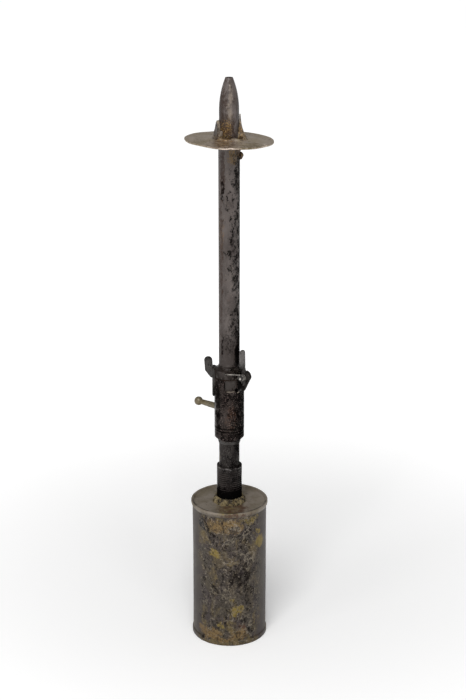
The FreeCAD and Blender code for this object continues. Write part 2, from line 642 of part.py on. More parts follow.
pad(catch, "YZ_Plane", lambda sketch: outline(sketch, [
    ("-paddle_width / 2", f"{paddle_foot} + paddle_width / 4", "paddle_width * 0.6", 1),
    ("paddle_width / 2", f"{paddle_foot} + paddle_width / 4"),
    ("paddle_width / 2", paddle_top, "paddle_width * 0.52", 1),
    ("-paddle_width / 2", paddle_top),
]), paddle_in, paddle_out)
bore_sketch = new_sketch(catch, "XZ_Plane")
circle(bore_sketch, "pin_reach", PIN, "pin_radius + running_gap")
bore_cut = catch.newObject("PartDesign::Pocket", "catch_bore")
bore_cut.Profile = bore_sketch
bore_cut.Midplane = True
bore_cut.setExpression("Length", full("4 * knuckle_width"))

coil_length = "(coil_pitch * coil_turns)"
coil_near = f"({coil_length} + wire_radius * 2 + free_gap)"
pin = new_body("catch_pin", SLEEVE_FOOT, "catch_azimuth")
pad(pin, "XZ_Plane", lambda sketch: circle(sketch, "pin_reach", PIN, "pin_radius"),
    f"-{coil_near}", f"{cheek_far} + pin_radius / 2")
pad(pin, "XZ_Plane", lambda sketch: circle(sketch, "pin_reach", PIN, "pin_radius * 1.9"),
    f"-{coil_near} - pin_radius * 0.8", f"-{coil_near}")
pad(pin, "XZ_Plane", lambda sketch: circle(sketch, "pin_reach", PIN, "pin_radius * 1.5"),
    f"{cheek_far} + fit", f"{cheek_far} + pin_radius / 2")


def straight_or_arc(start, heading, finish):
    """One edge that leaves start along heading and ends at finish."""
    chord = finish - start
    across = chord - heading * chord.dot(heading)
    if across.Length < 1e-6:
        return Part.LineSegment(start, finish).toShape()
    tangent = chord.Length ** 2 / (2 * chord.dot(heading))
    knee = start + heading * tangent
    middle = (start + finish) / 2
    slope = math.acos(min(chord.Length / 2 / tangent, 1))
    crown = middle + (knee - middle).normalize() * chord.Length / 2 * math.tan(slope / 2)
    return Part.Arc(start, crown, finish).toShape()


def biarc(start, heading, finish, arrival):
    """Two arcs, tangent to each other, from one point and heading to another."""
    chord = finish - start
    both = heading + arrival
    spread = 2 * (1 - heading.dot(arrival))
    if spread < 1e-9:
        reach = chord.dot(chord) / (4 * chord.dot(arrival))
    else:
        along = chord.dot(both)
        reach = (-along + math.sqrt(along ** 2 + 2 * spread * chord.dot(chord) / 2)) / spread
    joint = (start + heading * reach + finish - arrival * reach) / 2
    way = (finish - arrival * reach) - (start + heading * reach)
    if way.Length < 1e-9:
        return [straight_or_arc(start, heading, finish)]
    middle_way = way.normalize()
    return [straight_or_arc(start, heading, joint), straight_or_arc(joint, middle_way, finish)]


def spring_stations():
    """Points and headings along the wire, in the catch's own frame.

    The long leg starts hooked into the collar, follows its front and meets the coil at the top.
    The coil runs round the pin, and the short leg bends down behind the lever's tail.
    """
    reach = value("pin_reach")
    height = value(PIN)
    coil = value("coil_radius")
    pitch = value("coil_pitch")
    near = -value(f"{coil_length} + wire_radius + fit")
    ring = value("collar_radius + wire_radius + 0.15")
    low = value("sleeve_height + gasket_gauge + collar_height - 1.4")
    sweep = math.radians(value("leg_sweep"))
    stations = []

    def on_collar(angle, radius, lift):
        return V(radius * math.cos(angle), radius * math.sin(angle), low + lift)

    def round_collar(angle):
        return V(-math.sin(angle), math.cos(angle), 0)

    inward = V(math.cos(-sweep), math.sin(-sweep), 0)
    stations.append((on_collar(-sweep, ring - 2.2, 0), inward))
    stations.append((on_collar(-sweep, ring - 1.0, 0), inward))
    bend = 1.0 / ring
    stations.append((on_collar(-sweep + bend, ring, 0), round_collar(-sweep + bend)))
    stations.append((on_collar(-sweep * 0.62, ring, 0), round_collar(-sweep * 0.62)))
    top = height + coil
    stations.append((V(reach - 1.0, near, top), V(1, 0, 0)))
    quarters = int(round(value("coil_turns") * 4))
    for quarter in range(quarters + 1):
        angle = math.pi / 2 * (1 - quarter)
        along = near + pitch * quarter / 4
        heading = V(math.sin(angle) * coil, 0, -math.cos(angle) * coil)
        if 0 < quarter < quarters:
            heading = heading + V(0, pitch / (2 * math.pi), 0)
        spot = V(reach + coil * math.cos(angle), along, height + coil * math.sin(angle))
        stations.append((spot, heading.normalize()))
    far = near + pitch * quarters / 4
    behind = reach - 1.8 - value("wire_radius") - 0.15
    stations.append((V(behind, far, height - coil - 1.2), V(0, 0, -1)))
    stations.append((V(behind, far, height - 5.3), V(0, 0, -1)))
    stations.append((V(behind, far + 1.0, height - 6.3), V(0, 1, 0)))
    stations.append((V(behind, far + 2.0, height - 6.3), V(0, 1, 0)))
    return stations


def wire_spring(stations):
    """One unbroken tube along the stations, and the least room between its own turns."""
    edges = []
    for (start, heading), (finish, arrival) in zip(stations, stations[1:]):
        edges.extend(biarc(start, heading, finish, arrival))
    path = Part.Wire(edges)
    radius = value("wire_radius")
    ring = Part.Wire(Part.Circle(stations[0][0], stations[0][1], radius).toShape())
    tube_shape = path.makePipeShell([ring], True, False)
    points = []
    far_along = 0.0
    for edge in edges:
        for point in edge.discretize(12):
            if points:
                far_along += (point - points[-1][1]).Length
            points.append((far_along, point))
    room = min(
        (a - b).Length
        for index, (here, a) in enumerate(points)
        for there, b in points[index + 1:]
        if there - here > 8 * radius
    )
    print(f"catch spring: least gap to itself {room - 2 * radius:.2f} mm")
    return tube_shape


spring = doc.addObject("Part::Feature", "catch_spring")
spring.Label = "catch_spring"
spring.Shape = wire_spring(spring_stations())
spring.Placement = FreeCAD.Placement(
    V(0, 0, value(SLEEVE_FOOT)), FreeCAD.Rotation(V(0, 0, 1), value("catch_azimuth")))

doc.recompute()
NODES = [
    can_body, can_top, can_bottom, socket, locknut, solder, stem, packing, nut, sleeve, washer,
    barrel, lever, jet_washer, jet, gasket, collar, tube, tip, screw, disc, keeper, bracket, catch,
    pin, spring,
]
for item in doc.Objects:
    if "Invalid" in item.State or "Error" in item.State:
        raise RuntimeError(f"{item.Label} did not build: {item.State}")
os.makedirs("parts", exist_ok=True)
for node in NODES:
    shape = node.Shape
    if shape.isNull() or not shape.isValid():
        raise RuntimeError(f"{node.Label} has no sound shape")
    shape.exportStep(f"parts/{node.Label}.step")
    print(f"{node.Label}: {shape.Volume:.1f} mm3, {len(shape.Solids)} solid")
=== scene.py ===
"""Dress the can-fed burner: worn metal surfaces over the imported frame, in a plain pale studio.

Every shape here is a surface worked out with numpy: a profile turned about an axis, a ring carried
along a path, or an outline given thickness. Shapes and marks are in millimetres in the frame of the
solids, and make_object turns shapes into metres. Nodes, lamps and camera work in metres.
"""
import logging
import math
from dataclasses import dataclass, field, replace
from enum import Enum
from typing import Callable, Sequence

import bpy
import numpy as np
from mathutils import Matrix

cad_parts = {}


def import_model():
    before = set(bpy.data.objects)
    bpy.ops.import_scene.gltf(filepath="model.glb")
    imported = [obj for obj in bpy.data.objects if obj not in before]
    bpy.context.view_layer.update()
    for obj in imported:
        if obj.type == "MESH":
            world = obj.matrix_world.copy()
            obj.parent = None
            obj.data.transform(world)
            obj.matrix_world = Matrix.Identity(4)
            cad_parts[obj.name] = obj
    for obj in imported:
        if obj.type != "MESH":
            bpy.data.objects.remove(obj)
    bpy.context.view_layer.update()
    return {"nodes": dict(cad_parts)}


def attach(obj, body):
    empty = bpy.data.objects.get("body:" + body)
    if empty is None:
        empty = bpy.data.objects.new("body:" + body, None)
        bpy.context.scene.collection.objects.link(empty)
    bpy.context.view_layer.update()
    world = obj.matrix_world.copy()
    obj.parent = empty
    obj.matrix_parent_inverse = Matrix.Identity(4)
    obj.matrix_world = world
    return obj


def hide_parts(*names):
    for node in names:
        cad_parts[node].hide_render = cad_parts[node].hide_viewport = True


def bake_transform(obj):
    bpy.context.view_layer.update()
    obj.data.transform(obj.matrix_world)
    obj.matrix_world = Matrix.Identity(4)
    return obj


MM = 0.001
TURN = 2 * math.pi
ROUNDING = 1e-9
STAND = "stand"
CATCH = "catch"
REGULATOR = "regulator"
LOG = logging.getLogger("burner")

Array = np.ndarray
Colour = tuple[float, float, float]
Faces = list[list[int]]
Place = Callable[[Array], Array]
Socket = bpy.types.NodeSocket


@dataclass(frozen=True)
class Plan:
    """Driving sizes in millimetres: radii of the round walls, and heights over the foot."""

    can_wall: float = 31.6
    can_top: float = 125.0
    lid_panel: float = 123.4
    socket_wall: float = 10.65
    socket_top: float = 156.8
    thread_pitch: float = 1.81
    stem_wall: float = 8.6
    sleeve_wall: float = 12.5
    sleeve_joint: float = 190.0
    sleeve_top: float = 235.8
    barrel_wall: float = 11.3
    lever_level: float = 205.9
    pin_reach: float = 17.3
    pin_level: float = 239.5
    tube_wall: float = 8.7
    disc_rim: float = 35.9
    disc_seat: float = 434.24
    tip_wall: float = 8.0


PLAN = Plan()


def srgb(*channels: int) -> Colour:
    """Turn a display colour, with channels from 0 to 255, into linear light."""
    part = np.array(channels) / 255
    return tuple(np.where(part <= 0.04045, part / 12.92, ((part + 0.055) / 1.055) ** 2.4).tolist())


class Tone(Enum):
    """Named colours of the burner's metals and stains, and of the painted highlights and painted shade."""

    TUBE = srgb(56, 49, 46)
    TIP = srgb(58, 50, 47)
    TIP_WORN = srgb(86, 78, 75)
    TUBE_WORN = srgb(80, 73, 70)
    DEEP_BROWN = srgb(46, 33, 26)
    SLEEVE = srgb(16, 12, 10)
    SLEEVE_WORN = srgb(46, 39, 36)
    SLEEVE_CHIP = srgb(124, 106, 100)
    IRON = srgb(18, 16, 15)
    IRON_WORN = srgb(42, 38, 36)
    # near-black: pits, and also painted shade in holes and on the catch's tail
    PIT_AND_SHADE = srgb(6, 5, 5)
    RUST = srgb(72, 46, 30)
    EMBER = srgb(44, 24, 11)
    PALE_RUST = srgb(92, 70, 47)
    OCHRE = srgb(104, 82, 46)
    YELLOW = srgb(116, 98, 40)
    OLIVE = srgb(88, 74, 44)
    DISC_GREY = srgb(146, 134, 121)
    DISC_OLIVE = srgb(132, 119, 99)
    # painted highlight on the disc's rim
    EDGE = srgb(206, 190, 176)
    LID_GREY = srgb(118, 109, 98)
    LID_OLIVE = srgb(100, 91, 76)
    TIN_GREY = srgb(60, 53, 44)
    TIN_VIOLET = srgb(55, 47, 44)
    TIN_DARK = srgb(20, 16, 14)
    TIN_SHADE = srgb(36, 30, 29)
    BLUE_BLACK = srgb(30, 30, 33)
    # pale: scratches and chips, and also painted highlights along edges, sills and rims
    SCRATCH_AND_GLINT = srgb(138, 127, 112)
    BRASS = srgb(108, 100, 82)
    BRASS_DARK = srgb(72, 64, 48)
    SPELTER = srgb(126, 112, 80)
    BRAZE = srgb(96, 76, 42)
    GOLD = srgb(176, 138, 70)
    STEEL = srgb(54, 51, 49)
    PALE_STEEL = srgb(104, 100, 98)
    BRIGHT_WIRE = srgb(176, 170, 162)
    FIBRE = srgb(18, 15, 13)


class Graph:
    """A node tree that shades by the object's own coordinates."""

    def __init__(self, name: str) -> None:
        """Start a material that has only its shader and output.

        Args:
            name: material name.
        """
        self.material = bpy.data.materials.new(name)
        self.material.use_nodes = True
        self.tree = self.material.node_tree
        self.tree.nodes.clear()
        self.shader = self.node("BsdfPrincipled", {})
        self.node("OutputMaterial", {"Surface": self.shader.outputs["BSDF"]})
        self.place = self.node("TexCoord", {}).outputs["Object"]

    def node(self, kind: str, feeds: dict[int | str, object], **settings: str) -> bpy.types.Node:
        """Add a node, set its options and feed its inputs.

        Args:
            kind: node type, without the words that all types start with.
            feeds: what each input gets.
            settings: the node's own options.

        Returns:
            The node.
        """
        made = self.tree.nodes.new("ShaderNode" + kind)
        for option, choice in settings.items():
            setattr(made, option, choice)
        self.feed(made, feeds)
        return made

    def feed(self, node: bpy.types.Node, feeds: dict[int | str, object]) -> None:
        """Link a node's inputs, or set their values.

        Args:
            node: the node to feed.
            feeds: a socket, number, vector, colour or tone for each input.
        """
        for key, value in feeds.items():
            if isinstance(value, bpy.types.NodeSocket):
                self.tree.links.new(value, node.inputs[key])
            elif isinstance(value, Tone):
                node.inputs[key].default_value = (*value.value, 1.0)
            else:
                node.inputs[key].default_value = value

    def vector(self, kind: str, *values: object) -> Socket:
        """One step of vector arithmetic on sockets or vectors."""
        return self.node("VectorMath", dict(enumerate(values)), operation=kind).outputs[0]

    def length(self, vector: Socket) -> Socket:
        """Length of a vector."""
        return self.node("VectorMath", {0: vector}, operation="LENGTH").outputs["Value"]

    def math(self, kind: str, *values: object) -> Socket:
        """One step of arithmetic on sockets or numbers."""
        return self.node("Math", dict(enumerate(values)), operation=kind).outputs[0]

    def times(self, *values: object) -> Socket:
        """Multiply sockets and numbers.

        Args:
            values: the factors.

        Returns:
            Their product.
        """
        product = values[0]
        for value in values[1:]:
            product = self.math("MULTIPLY", product, value)
        return product

    def near(self, value: Socket, middle: float) -> Socket:
        """How far a value is from a middle."""
        return self.math("ABSOLUTE", self.math("SUBTRACT", value, middle))

    def stretch(self, across: float, up: float) -> Socket:
        """Object coordinates scaled by one factor on X and Y and another on Z."""
        return self.vector("MULTIPLY", self.place, (across, across, up))

    def axis(self, name: str) -> Socket:
        """One of the object's coordinates, X, Y or Z."""
        return self.node("SeparateXYZ", {0: self.place}).outputs[name]

    def from_axis(self) -> Socket:
        """Distance from the upright axis."""
        return self.length(self.stretch(1.0, 0.0))

    def noise(self, scale: float, detail: float = 6.0, place: Socket | None = None,
              rough: float = 0.6, twist: float = 0.0) -> Socket:
        """Cloudy noise from 0 to 1.

        Args:
            scale: features per metre.
            detail: octaves.
            place: coordinates, or the object's own.
            rough: how strong the fine octaves are.
            twist: distortion of the coordinates.

        Returns:
            The noise value.
        """
        feeds = {"Vector": place or self.place, "Scale": scale, "Detail": detail,
                 "Roughness": rough, "Distortion": twist}
        return self.node("TexNoise", feeds).outputs["Fac"]

    def band(self, value: Socket, low: float, high: float) -> Socket:
        """Smooth step from 0 where the value is low to 1 where it is high."""
        feeds = {"Value": value, "From Min": low, "From Max": high}
        return self.node("MapRange", feeds, interpolation_type="SMOOTHSTEP").outputs["Result"]

    def mix(self, part: Socket, first: object, second: object) -> Socket:
        """Blend two colours, with part as the share of the second."""
        feeds = {"Factor": part, "A": first, "B": second}
        return self.node("Mix", feeds, data_type="RGBA").outputs["Result"]

    def cover(self, colour: Socket, tone: Tone, *shares: object) -> Socket:
        """Lay a tone over a colour, as strong as the product of the shares."""
        return self.mix(self.times(*shares), colour, tone)

    def wander(self, amount: float, scale: float) -> Socket:
        """Object coordinates pushed about by noise, so that stains get ragged edges.

        Args:
            amount: push in metres.
            scale: noise features per metre.

        Returns:
            The pushed coordinates.
        """
        feeds = {"Vector": self.place, "Scale": scale, "Detail": 7.0}
        cloud = self.node("TexNoise", feeds).outputs["Color"]
        centred = self.vector("SUBTRACT", cloud, (0.5, 0.5, 0.5))
        return self.vector("MULTIPLY_ADD", centred, (amount, amount, amount), self.place)

    def blot(self, place: Socket, centre: Sequence[float], size: Sequence[float]) -> Socket:
        """A soft blot at centre: 1 in its middle and 0 outside an ellipsoid of these half sizes."""
        away = self.vector("DIVIDE", self.vector("SUBTRACT", place, centre), size)
        return self.band(self.length(away), 1.1, 0.35)

    def finish(self, colour: Socket, rough: Socket, height: Socket, relief: float,
               metallic: float, specular: float) -> bpy.types.Material:
        """Feed the shader and give the material back.

        Args:
            colour: base colour.
            rough: roughness.
            height: relief as a share of its depth.
            relief: depth of the relief in metres.
            metallic: how metallic the whole surface is.
            specular: specular level where the colour is not dark; soot and pits stay matt.

        Returns:
            The finished material.
        """
        grey = self.node("RGBToBW", {0: colour}).outputs[0]
        bump = self.node("Bump", {"Strength": 0.7, "Distance": relief, "Height": height})
        self.feed(self.shader, {
            "Base Color": colour, "Roughness": rough, "Metallic": metallic,
            "Specular IOR Level": self.times(self.band(grey, 0.002, 0.03), specular),
            "Normal": bump.outputs["Normal"]})
        return self.material


@dataclass(frozen=True)
class Mark:
    """A blot on a round wall: where it lies, how large it is, its tone and how it breaks up.

    turn is degrees from the front, to the right; up, wide, tall and radius are millimetres. cover is
    the share of its middle that the tone hides; grain is the size of its specks, per metre. A mark
    that is not ragged keeps a clean edge.
    """

    turn: float
    up: float
    wide: float
    tall: float
    tone: Tone
    cover: float = 0.7
    grain: float = 330.0
    strength: float = 0.9
    ragged: bool = True
    radius: float = 0.0

    def lay(self, graph: Graph, place: Socket, colour: Socket) -> Socket:
        """Blend the mark into a colour: specks are where noise plus the blot's strength is high.

        Args:
            graph: tree to add to.
            place: coordinates with ragged edges.
            colour: colour under the mark.

        Returns:
            The colour with the mark on it.
        """
        angle = math.radians(self.turn - 90)
        reach = self.radius * MM
        centre = (reach * math.cos(angle), reach * math.sin(angle), self.up * MM)
        size = (self.wide * MM, 3 * self.wide * MM, self.tall * MM)
        blot = graph.blot(place if self.ragged else graph.place, centre, size)
        cloud = graph.noise(self.grain, 9, graph.stretch(1.0, 0.7), 0.76)
        high = graph.math("ADD", cloud, graph.times(blot, 0.08 + 0.3 * self.cover))
        return graph.cover(colour, self.tone, graph.band(high, 0.64, 0.84), self.strength)


def on_wall(radius: float, *marks: Mark) -> tuple[Mark, ...]:
    """Give marks the radius of the wall that they lie on."""
    return tuple(replace(mark, radius=radius) for mark in marks)


@dataclass(frozen=True)
class WornMetal:
    """Old metal: two clouded tones, dark pitting in patches, and rust that runs up and down.

    pitting and rusting run from 0, none, to 1, all over. lean shifts the pits toward +X. grain and
    blotch are specks and patches per metre, and relief is a depth in millimetres. creases are heights,
    in millimetres, of dark lines round the part, and crevice_shade the radius, in millimetres, of a
    ring of painted shade laid in front only. threads are the low end, high end and pitch of a screw
    thread.
    """

    name: str
    tone: Tone
    worn: Tone
    pit: Tone = Tone.PIT_AND_SHADE
    rust: Tone = Tone.DEEP_BROWN
    chip: Tone = Tone.SCRATCH_AND_GLINT
    pitting: float = 0.5
    rusting: float = 0.2
    chipped: float = 0.3
    lean: float = 0.0
    grain: float = 900.0
    blotch: float = 240.0
    rough: tuple[float, float] = (0.3, 0.5)
    relief: float = 0.3
    metallic: float = 0.0
    specular: float = 0.3
    marks: tuple[Mark, ...] = ()
    creases: tuple[float, ...] = ()
    crevice_shade: float = 0.0
    threads: tuple[float, ...] = ()

    def build(self) -> bpy.types.Material:
        """Make the material: clouds, wear, rust, pits and chips, then marks, dark lines and painted shade.

        Returns:
            The finished material.
        """
        graph = Graph(self.name)
        streaks = graph.stretch(1.0, 0.4)
        cloud = graph.noise(95, 7, streaks)
        blotches = graph.noise(self.blotch, 12, graph.stretch(1.0, 0.6), 0.76)
        mottle = graph.math("SUBTRACT", blotches, graph.times(graph.axis("X"), self.lean))
        colour = graph.mix(graph.band(cloud, 0.36, 0.64), self.tone, self.worn)
        colour = graph.cover(colour, self.worn, graph.band(mottle, 0.52, 0.68), 0.5)
        patches = graph.noise(150, 9, streaks, 0.7, 0.4)
        rusted = graph.band(patches, 0.66 - 0.22 * self.rusting, 0.76)
        colour = graph.cover(colour, self.rust, rusted, 0.6)
        edge = 0.28 + 0.24 * self.pitting
        pits = graph.band(mottle, edge + 0.07, edge)
        colour = graph.cover(colour, self.pit, pits, 0.92)
        near_pits = graph.band(mottle, edge + 0.16, edge + 0.06)
        flakes = graph.band(graph.noise(1300, 5), 0.56, 0.66)
        colour = graph.cover(colour, self.chip, flakes, near_pits, self.chipped)
        place = graph.wander(0.005, 160)
        for mark in self.marks:
            colour = mark.lay(graph, place, colour)
        colour = self.dark_lines(graph, colour, cloud)
        low, high = self.rough
        shine = graph.math("MULTIPLY_ADD", cloud, high - low, low)
        speck = graph.noise(self.grain, 8, rough=0.7)
        height = graph.math("SUBTRACT", graph.times(speck, 0.5), graph.times(pits, 0.6))
        return graph.finish(colour, shine, height, self.relief * MM, self.metallic, self.specular)

    def dark_lines(self, graph: Graph, colour: Socket, cloud: Socket) -> Socket:
        """Dark lines round the part at the crease heights, a ring of painted shade in front, and the lines
        of a thread.

        Args:
            graph: tree to add to.
            colour: colour under the lines.
            cloud: noise that breaks the ring of painted shade up.

        Returns:
            The colour with the lines on it.
        """
        for crease in self.creases:
            line = graph.band(graph.near(graph.axis("Z"), crease * MM), 0.7 * MM, 0.3 * MM)
            colour = graph.cover(colour, Tone.PIT_AND_SHADE, line, 0.9)
        if self.crevice_shade:
            # A dark ring in front only: painted shade at the inner edge of the lid's bead.
            line = graph.band(graph.near(graph.from_axis(), self.crevice_shade * MM), 1.1 * MM, 0.6 * MM)
            front = graph.band(graph.axis("Y"), 4 * MM, -10 * MM)
            colour = graph.cover(colour, Tone.TIN_DARK, line, graph.band(cloud, 0.3, 0.5), front, 0.8)
        if self.threads:
            colour = self.thread_lines(graph, colour)
        return colour

    def thread_lines(self, graph: Graph, colour: Socket) -> Socket:
        """Dark roots and worn crests of a screw thread: a wave of height over pitch.

        Args:
            graph: tree to add to.
            colour: colour under the lines.

        Returns:
            The colour with the lines on it.
        """
        low, high, pitch = (length * MM for length in self.threads)
        up = graph.axis("Z")
        there = graph.times(graph.band(up, low, low + 3 * MM), graph.band(up, high, high - 2 * MM))
        worn = graph.band(graph.noise(260, 6), 0.40, 0.56)
        wave = graph.math("SINE", graph.times(up, TURN / pitch))
        colour = graph.cover(colour, Tone.TUBE, there, worn, graph.band(wave, 0.3, 0.9), 0.6)
        return graph.cover(colour, Tone.PIT_AND_SHADE, there, graph.band(wave, -0.2, -0.8), 0.7)


@dataclass(frozen=True)
class LacqueredTin:
    """Old lacquered tinplate with ochre stains, dark curls, scuffs and fine pale scratches."""

    name: str
    marks: tuple[Mark, ...]
    tone: Tone = Tone.TIN_GREY
    second: Tone = Tone.TIN_VIOLET
    dark: Tone = Tone.TIN_DARK

    def face(self, graph: Graph) -> Socket:
        """Where the wear shows: in front and at the back, but little at the two sides.

        Args:
            graph: tree to add to.

        Returns:
            The strength of the wear, with ragged edges.
        """
        across = graph.math("SUBTRACT", graph.math("ABSOLUTE", graph.axis("X")), 8 * MM)
        aside = graph.math("MULTIPLY_ADD", graph.noise(55, 6), 16 * MM, across)
        behind = graph.times(graph.band(graph.axis("Y"), -14 * MM, 2 * MM), 0.75)
        return graph.math("MAXIMUM", graph.band(aside, 28.5 * MM, 21.5 * MM), behind)

    def build(self) -> bpy.types.Material:
        """Make the material: stains, scuffs, dark crumbs and curls, then pale strokes and chips.

        Returns:
            The finished material.
        """
        graph = Graph(self.name)
        face = self.face(graph)
        cloud = graph.noise(60, 8, rough=0.62, twist=0.6)
        colour = graph.mix(graph.band(cloud, 0.38, 0.62), self.tone, self.second)
        tint = graph.noise(95, 10, graph.stretch(1.0, 0.55), 0.7, 0.9)
        from_middle = graph.band(graph.near(graph.axis("Z"), 60 * MM), 14 * MM, 40 * MM)
        ends = graph.math("MULTIPLY_ADD", from_middle, 0.6, 0.35)
        colour = graph.cover(colour, Tone.OLIVE, graph.band(tint, 0.47, 0.60), ends, face)
        place = graph.wander(0.012, 110)
        for mark in self.marks:
            colour = mark.lay(graph, place, colour)
        mottle = graph.noise(150, 13, graph.stretch(1.0, 0.75), 0.78, 0.4)
        colour = graph.cover(colour, self.dark, graph.band(mottle, 0.485, 0.40), 0.9, face)
        fine = graph.noise(480, 9, rough=0.8)
        bend = graph.band(graph.near(graph.noise(85, 4, twist=1.0), 0.5), 0.016, 0.006)
        curls = graph.times(bend, graph.band(graph.noise(48, 3), 0.47, 0.53), face)
        crumbs = graph.math("MAXIMUM", curls, graph.times(graph.band(fine, 0.47, 0.40), face))
        colour = graph.cover(colour, self.dark, crumbs, 0.8)
        arc = graph.near(graph.noise(70, 3, twist=0.5), 0.5)
        stroke = graph.band(graph.noise(42, 4), 0.50, 0.57)
        colour = graph.cover(colour, Tone.LID_OLIVE, graph.band(arc, 0.030, 0.012), stroke, 0.5, face)
        scratch = graph.times(graph.band(arc, 0.014, 0.004), graph.band(graph.noise(60, 4), 0.50, 0.56))
        chips = graph.math("MAXIMUM", graph.times(scratch, 0.5), graph.band(fine, 0.565, 0.62))
        colour = graph.cover(colour, Tone.SCRATCH_AND_GLINT, chips, 0.75, face)
        shine = graph.math("MULTIPLY_ADD", cloud, 0.26, 0.36)
        height = graph.math("SUBTRACT", graph.times(fine, 0.4), graph.times(crumbs, 0.4))
        return graph.finish(colour, shine, height, 0.22 * MM, 0.0, 0.3)


CAN_MARKS = on_wall(
    PLAN.can_wall,
    Mark(-6, 113, 26, 6, Tone.OLIVE, 0.85),
    Mark(-22, 112, 15, 9, Tone.OCHRE, 0.8),
    Mark(6, 112, 15, 9, Tone.OCHRE, 0.75),
    Mark(36, 116, 10, 6, Tone.YELLOW, 0.6),
    Mark(-47, 111, 5, 8, Tone.BLUE_BLACK, 0.75),
    Mark(9, 110, 6.5, 4, Tone.BLUE_BLACK, 0.7),
    Mark(-45, 98, 6, 7, Tone.OLIVE, 0.7),
    Mark(-5, 99, 13, 3.5, Tone.BLUE_BLACK, 0.5),
    Mark(-22, 88, 6.5, 6, Tone.YELLOW, 0.85),
    Mark(54, 94, 6.5, 9, Tone.YELLOW, 0.85),
    Mark(48, 104, 3.5, 3.5, Tone.YELLOW, 0.6),
    Mark(30, 104, 7, 20, Tone.TIN_DARK, 0.6),
    Mark(6, 64, 22, 30, Tone.TIN_SHADE, 0.5, 250),
    Mark(-28, 63, 3.5, 11, Tone.OLIVE, 0.5),
    Mark(24, 62, 14, 24, Tone.TIN_DARK, 0.35),
    Mark(-24, 70, 3, 22, Tone.OLIVE, 0.6),
    Mark(6, 78, 8, 3, Tone.OLIVE, 0.6),
    Mark(28, 60, 6, 70, Tone.TIN_DARK, 0.5),
    Mark(0, 1.5, 40, 4.5, Tone.OLIVE, 0.8),
    Mark(-12, 6, 26, 2.6, Tone.OCHRE, 0.8),
    Mark(11, 33, 8, 8, Tone.YELLOW, 0.9),
    Mark(4, 42, 5, 5, Tone.YELLOW, 0.55),
    Mark(17, 15, 6, 9, Tone.RUST, 0.7),
    Mark(14, 10, 11, 8, Tone.OCHRE, 0.85),
    Mark(-34, 11, 14, 8, Tone.OCHRE, 0.85),
    Mark(-14, 19, 6, 4, Tone.YELLOW, 0.55),
    Mark(34, 14, 6, 11, Tone.TIN_DARK, 0.5),
)
TUBE_MARKS = on_wall(
    PLAN.tube_wall,
    Mark(-38, 410, 3.0, 34, Tone.DEEP_BROWN, 0.8, 420),
    Mark(-38, 395, 2.2, 16, Tone.PIT_AND_SHADE, 0.75, 420),
    Mark(-48, 360, 4.0, 26, Tone.PALE_RUST, 0.45, 420),
    Mark(-10, 414, 6, 18, Tone.SCRATCH_AND_GLINT, 0.10, 1500, 0.7),
    Mark(30, 345, 8, 48, Tone.PIT_AND_SHADE, 0.42, 430),
    Mark(55, 275, 5, 42, Tone.PIT_AND_SHADE, 0.62, 430),
    Mark(20, 425, 7, 14, Tone.OCHRE, 0.5, 700),
    Mark(-10, 258, 16, 24, Tone.SLEEVE_WORN, 0.9, 420),
    # A long dark streak down the left side: a brown stain and painted shade.
    Mark(-52, 330, 3.0, 110, Tone.DEEP_BROWN, 0.7, 330),
    Mark(14, 325, 5, 26, Tone.SCRATCH_AND_GLINT, 0.12, 1500, 0.8),
    Mark(60, 262, 4, 24, Tone.PIT_AND_SHADE, 0.8, 330),
    Mark(44, 256, 3.6, 15, Tone.PIT_AND_SHADE, 0.9, 420),
    Mark(-40, 264, 1.8, 18, Tone.PIT_AND_SHADE, 0.65, 500),
    Mark(2, 268, 7, 18, Tone.PIT_AND_SHADE, 0.4, 700),
    Mark(-20, 290, 9, 44, Tone.SLEEVE_WORN, 0.3, 420),
)
SLEEVE_MARKS = on_wall(
    PLAN.sleeve_wall,
    Mark(50, 205, 9, 60, Tone.PIT_AND_SHADE, 0.6),
    Mark(22, 194, 9, 12, Tone.SCRATCH_AND_GLINT, 0.10, 1500, 0.6),
    # A pale line along the window's lower edge and a crescent at the relief hole's rim: painted
    # highlights. A black dot at the hole: painted shade.
    Mark(6, 226.3, 5.5, 0.55, Tone.SCRATCH_AND_GLINT, 1.0, strength=0.6, ragged=False),
    Mark(36, 225.4, 1.3, 0.9, Tone.SCRATCH_AND_GLINT, 1.2, strength=0.7, ragged=False),
    Mark(31, 226.9, 1.8, 1.8, Tone.PIT_AND_SHADE, 1.8, strength=1.0, ragged=False),
    Mark(5, 203, 9, 20, Tone.RUST, 0.35, 600, 0.6),
    Mark(-50, 212, 3.6, 40, Tone.PIT_AND_SHADE, 0.75),
    # Thin pale streaks down both edges: painted highlights.
    Mark(-72, 208, 0.8, 50, Tone.PALE_STEEL, 0.6, 420, 0.7),
    Mark(78, 208, 0.7, 50, Tone.PALE_STEEL, 0.6, 420, 0.7),
)
BARREL_MARKS = on_wall(
    PLAN.barrel_wall,
    # A black dot behind the sleeve's relief hole: painted shade inside the hole.
    Mark(31, 227.1, 1.9, 1.9, Tone.PIT_AND_SHADE, 1.8, strength=1.0, ragged=False),
)
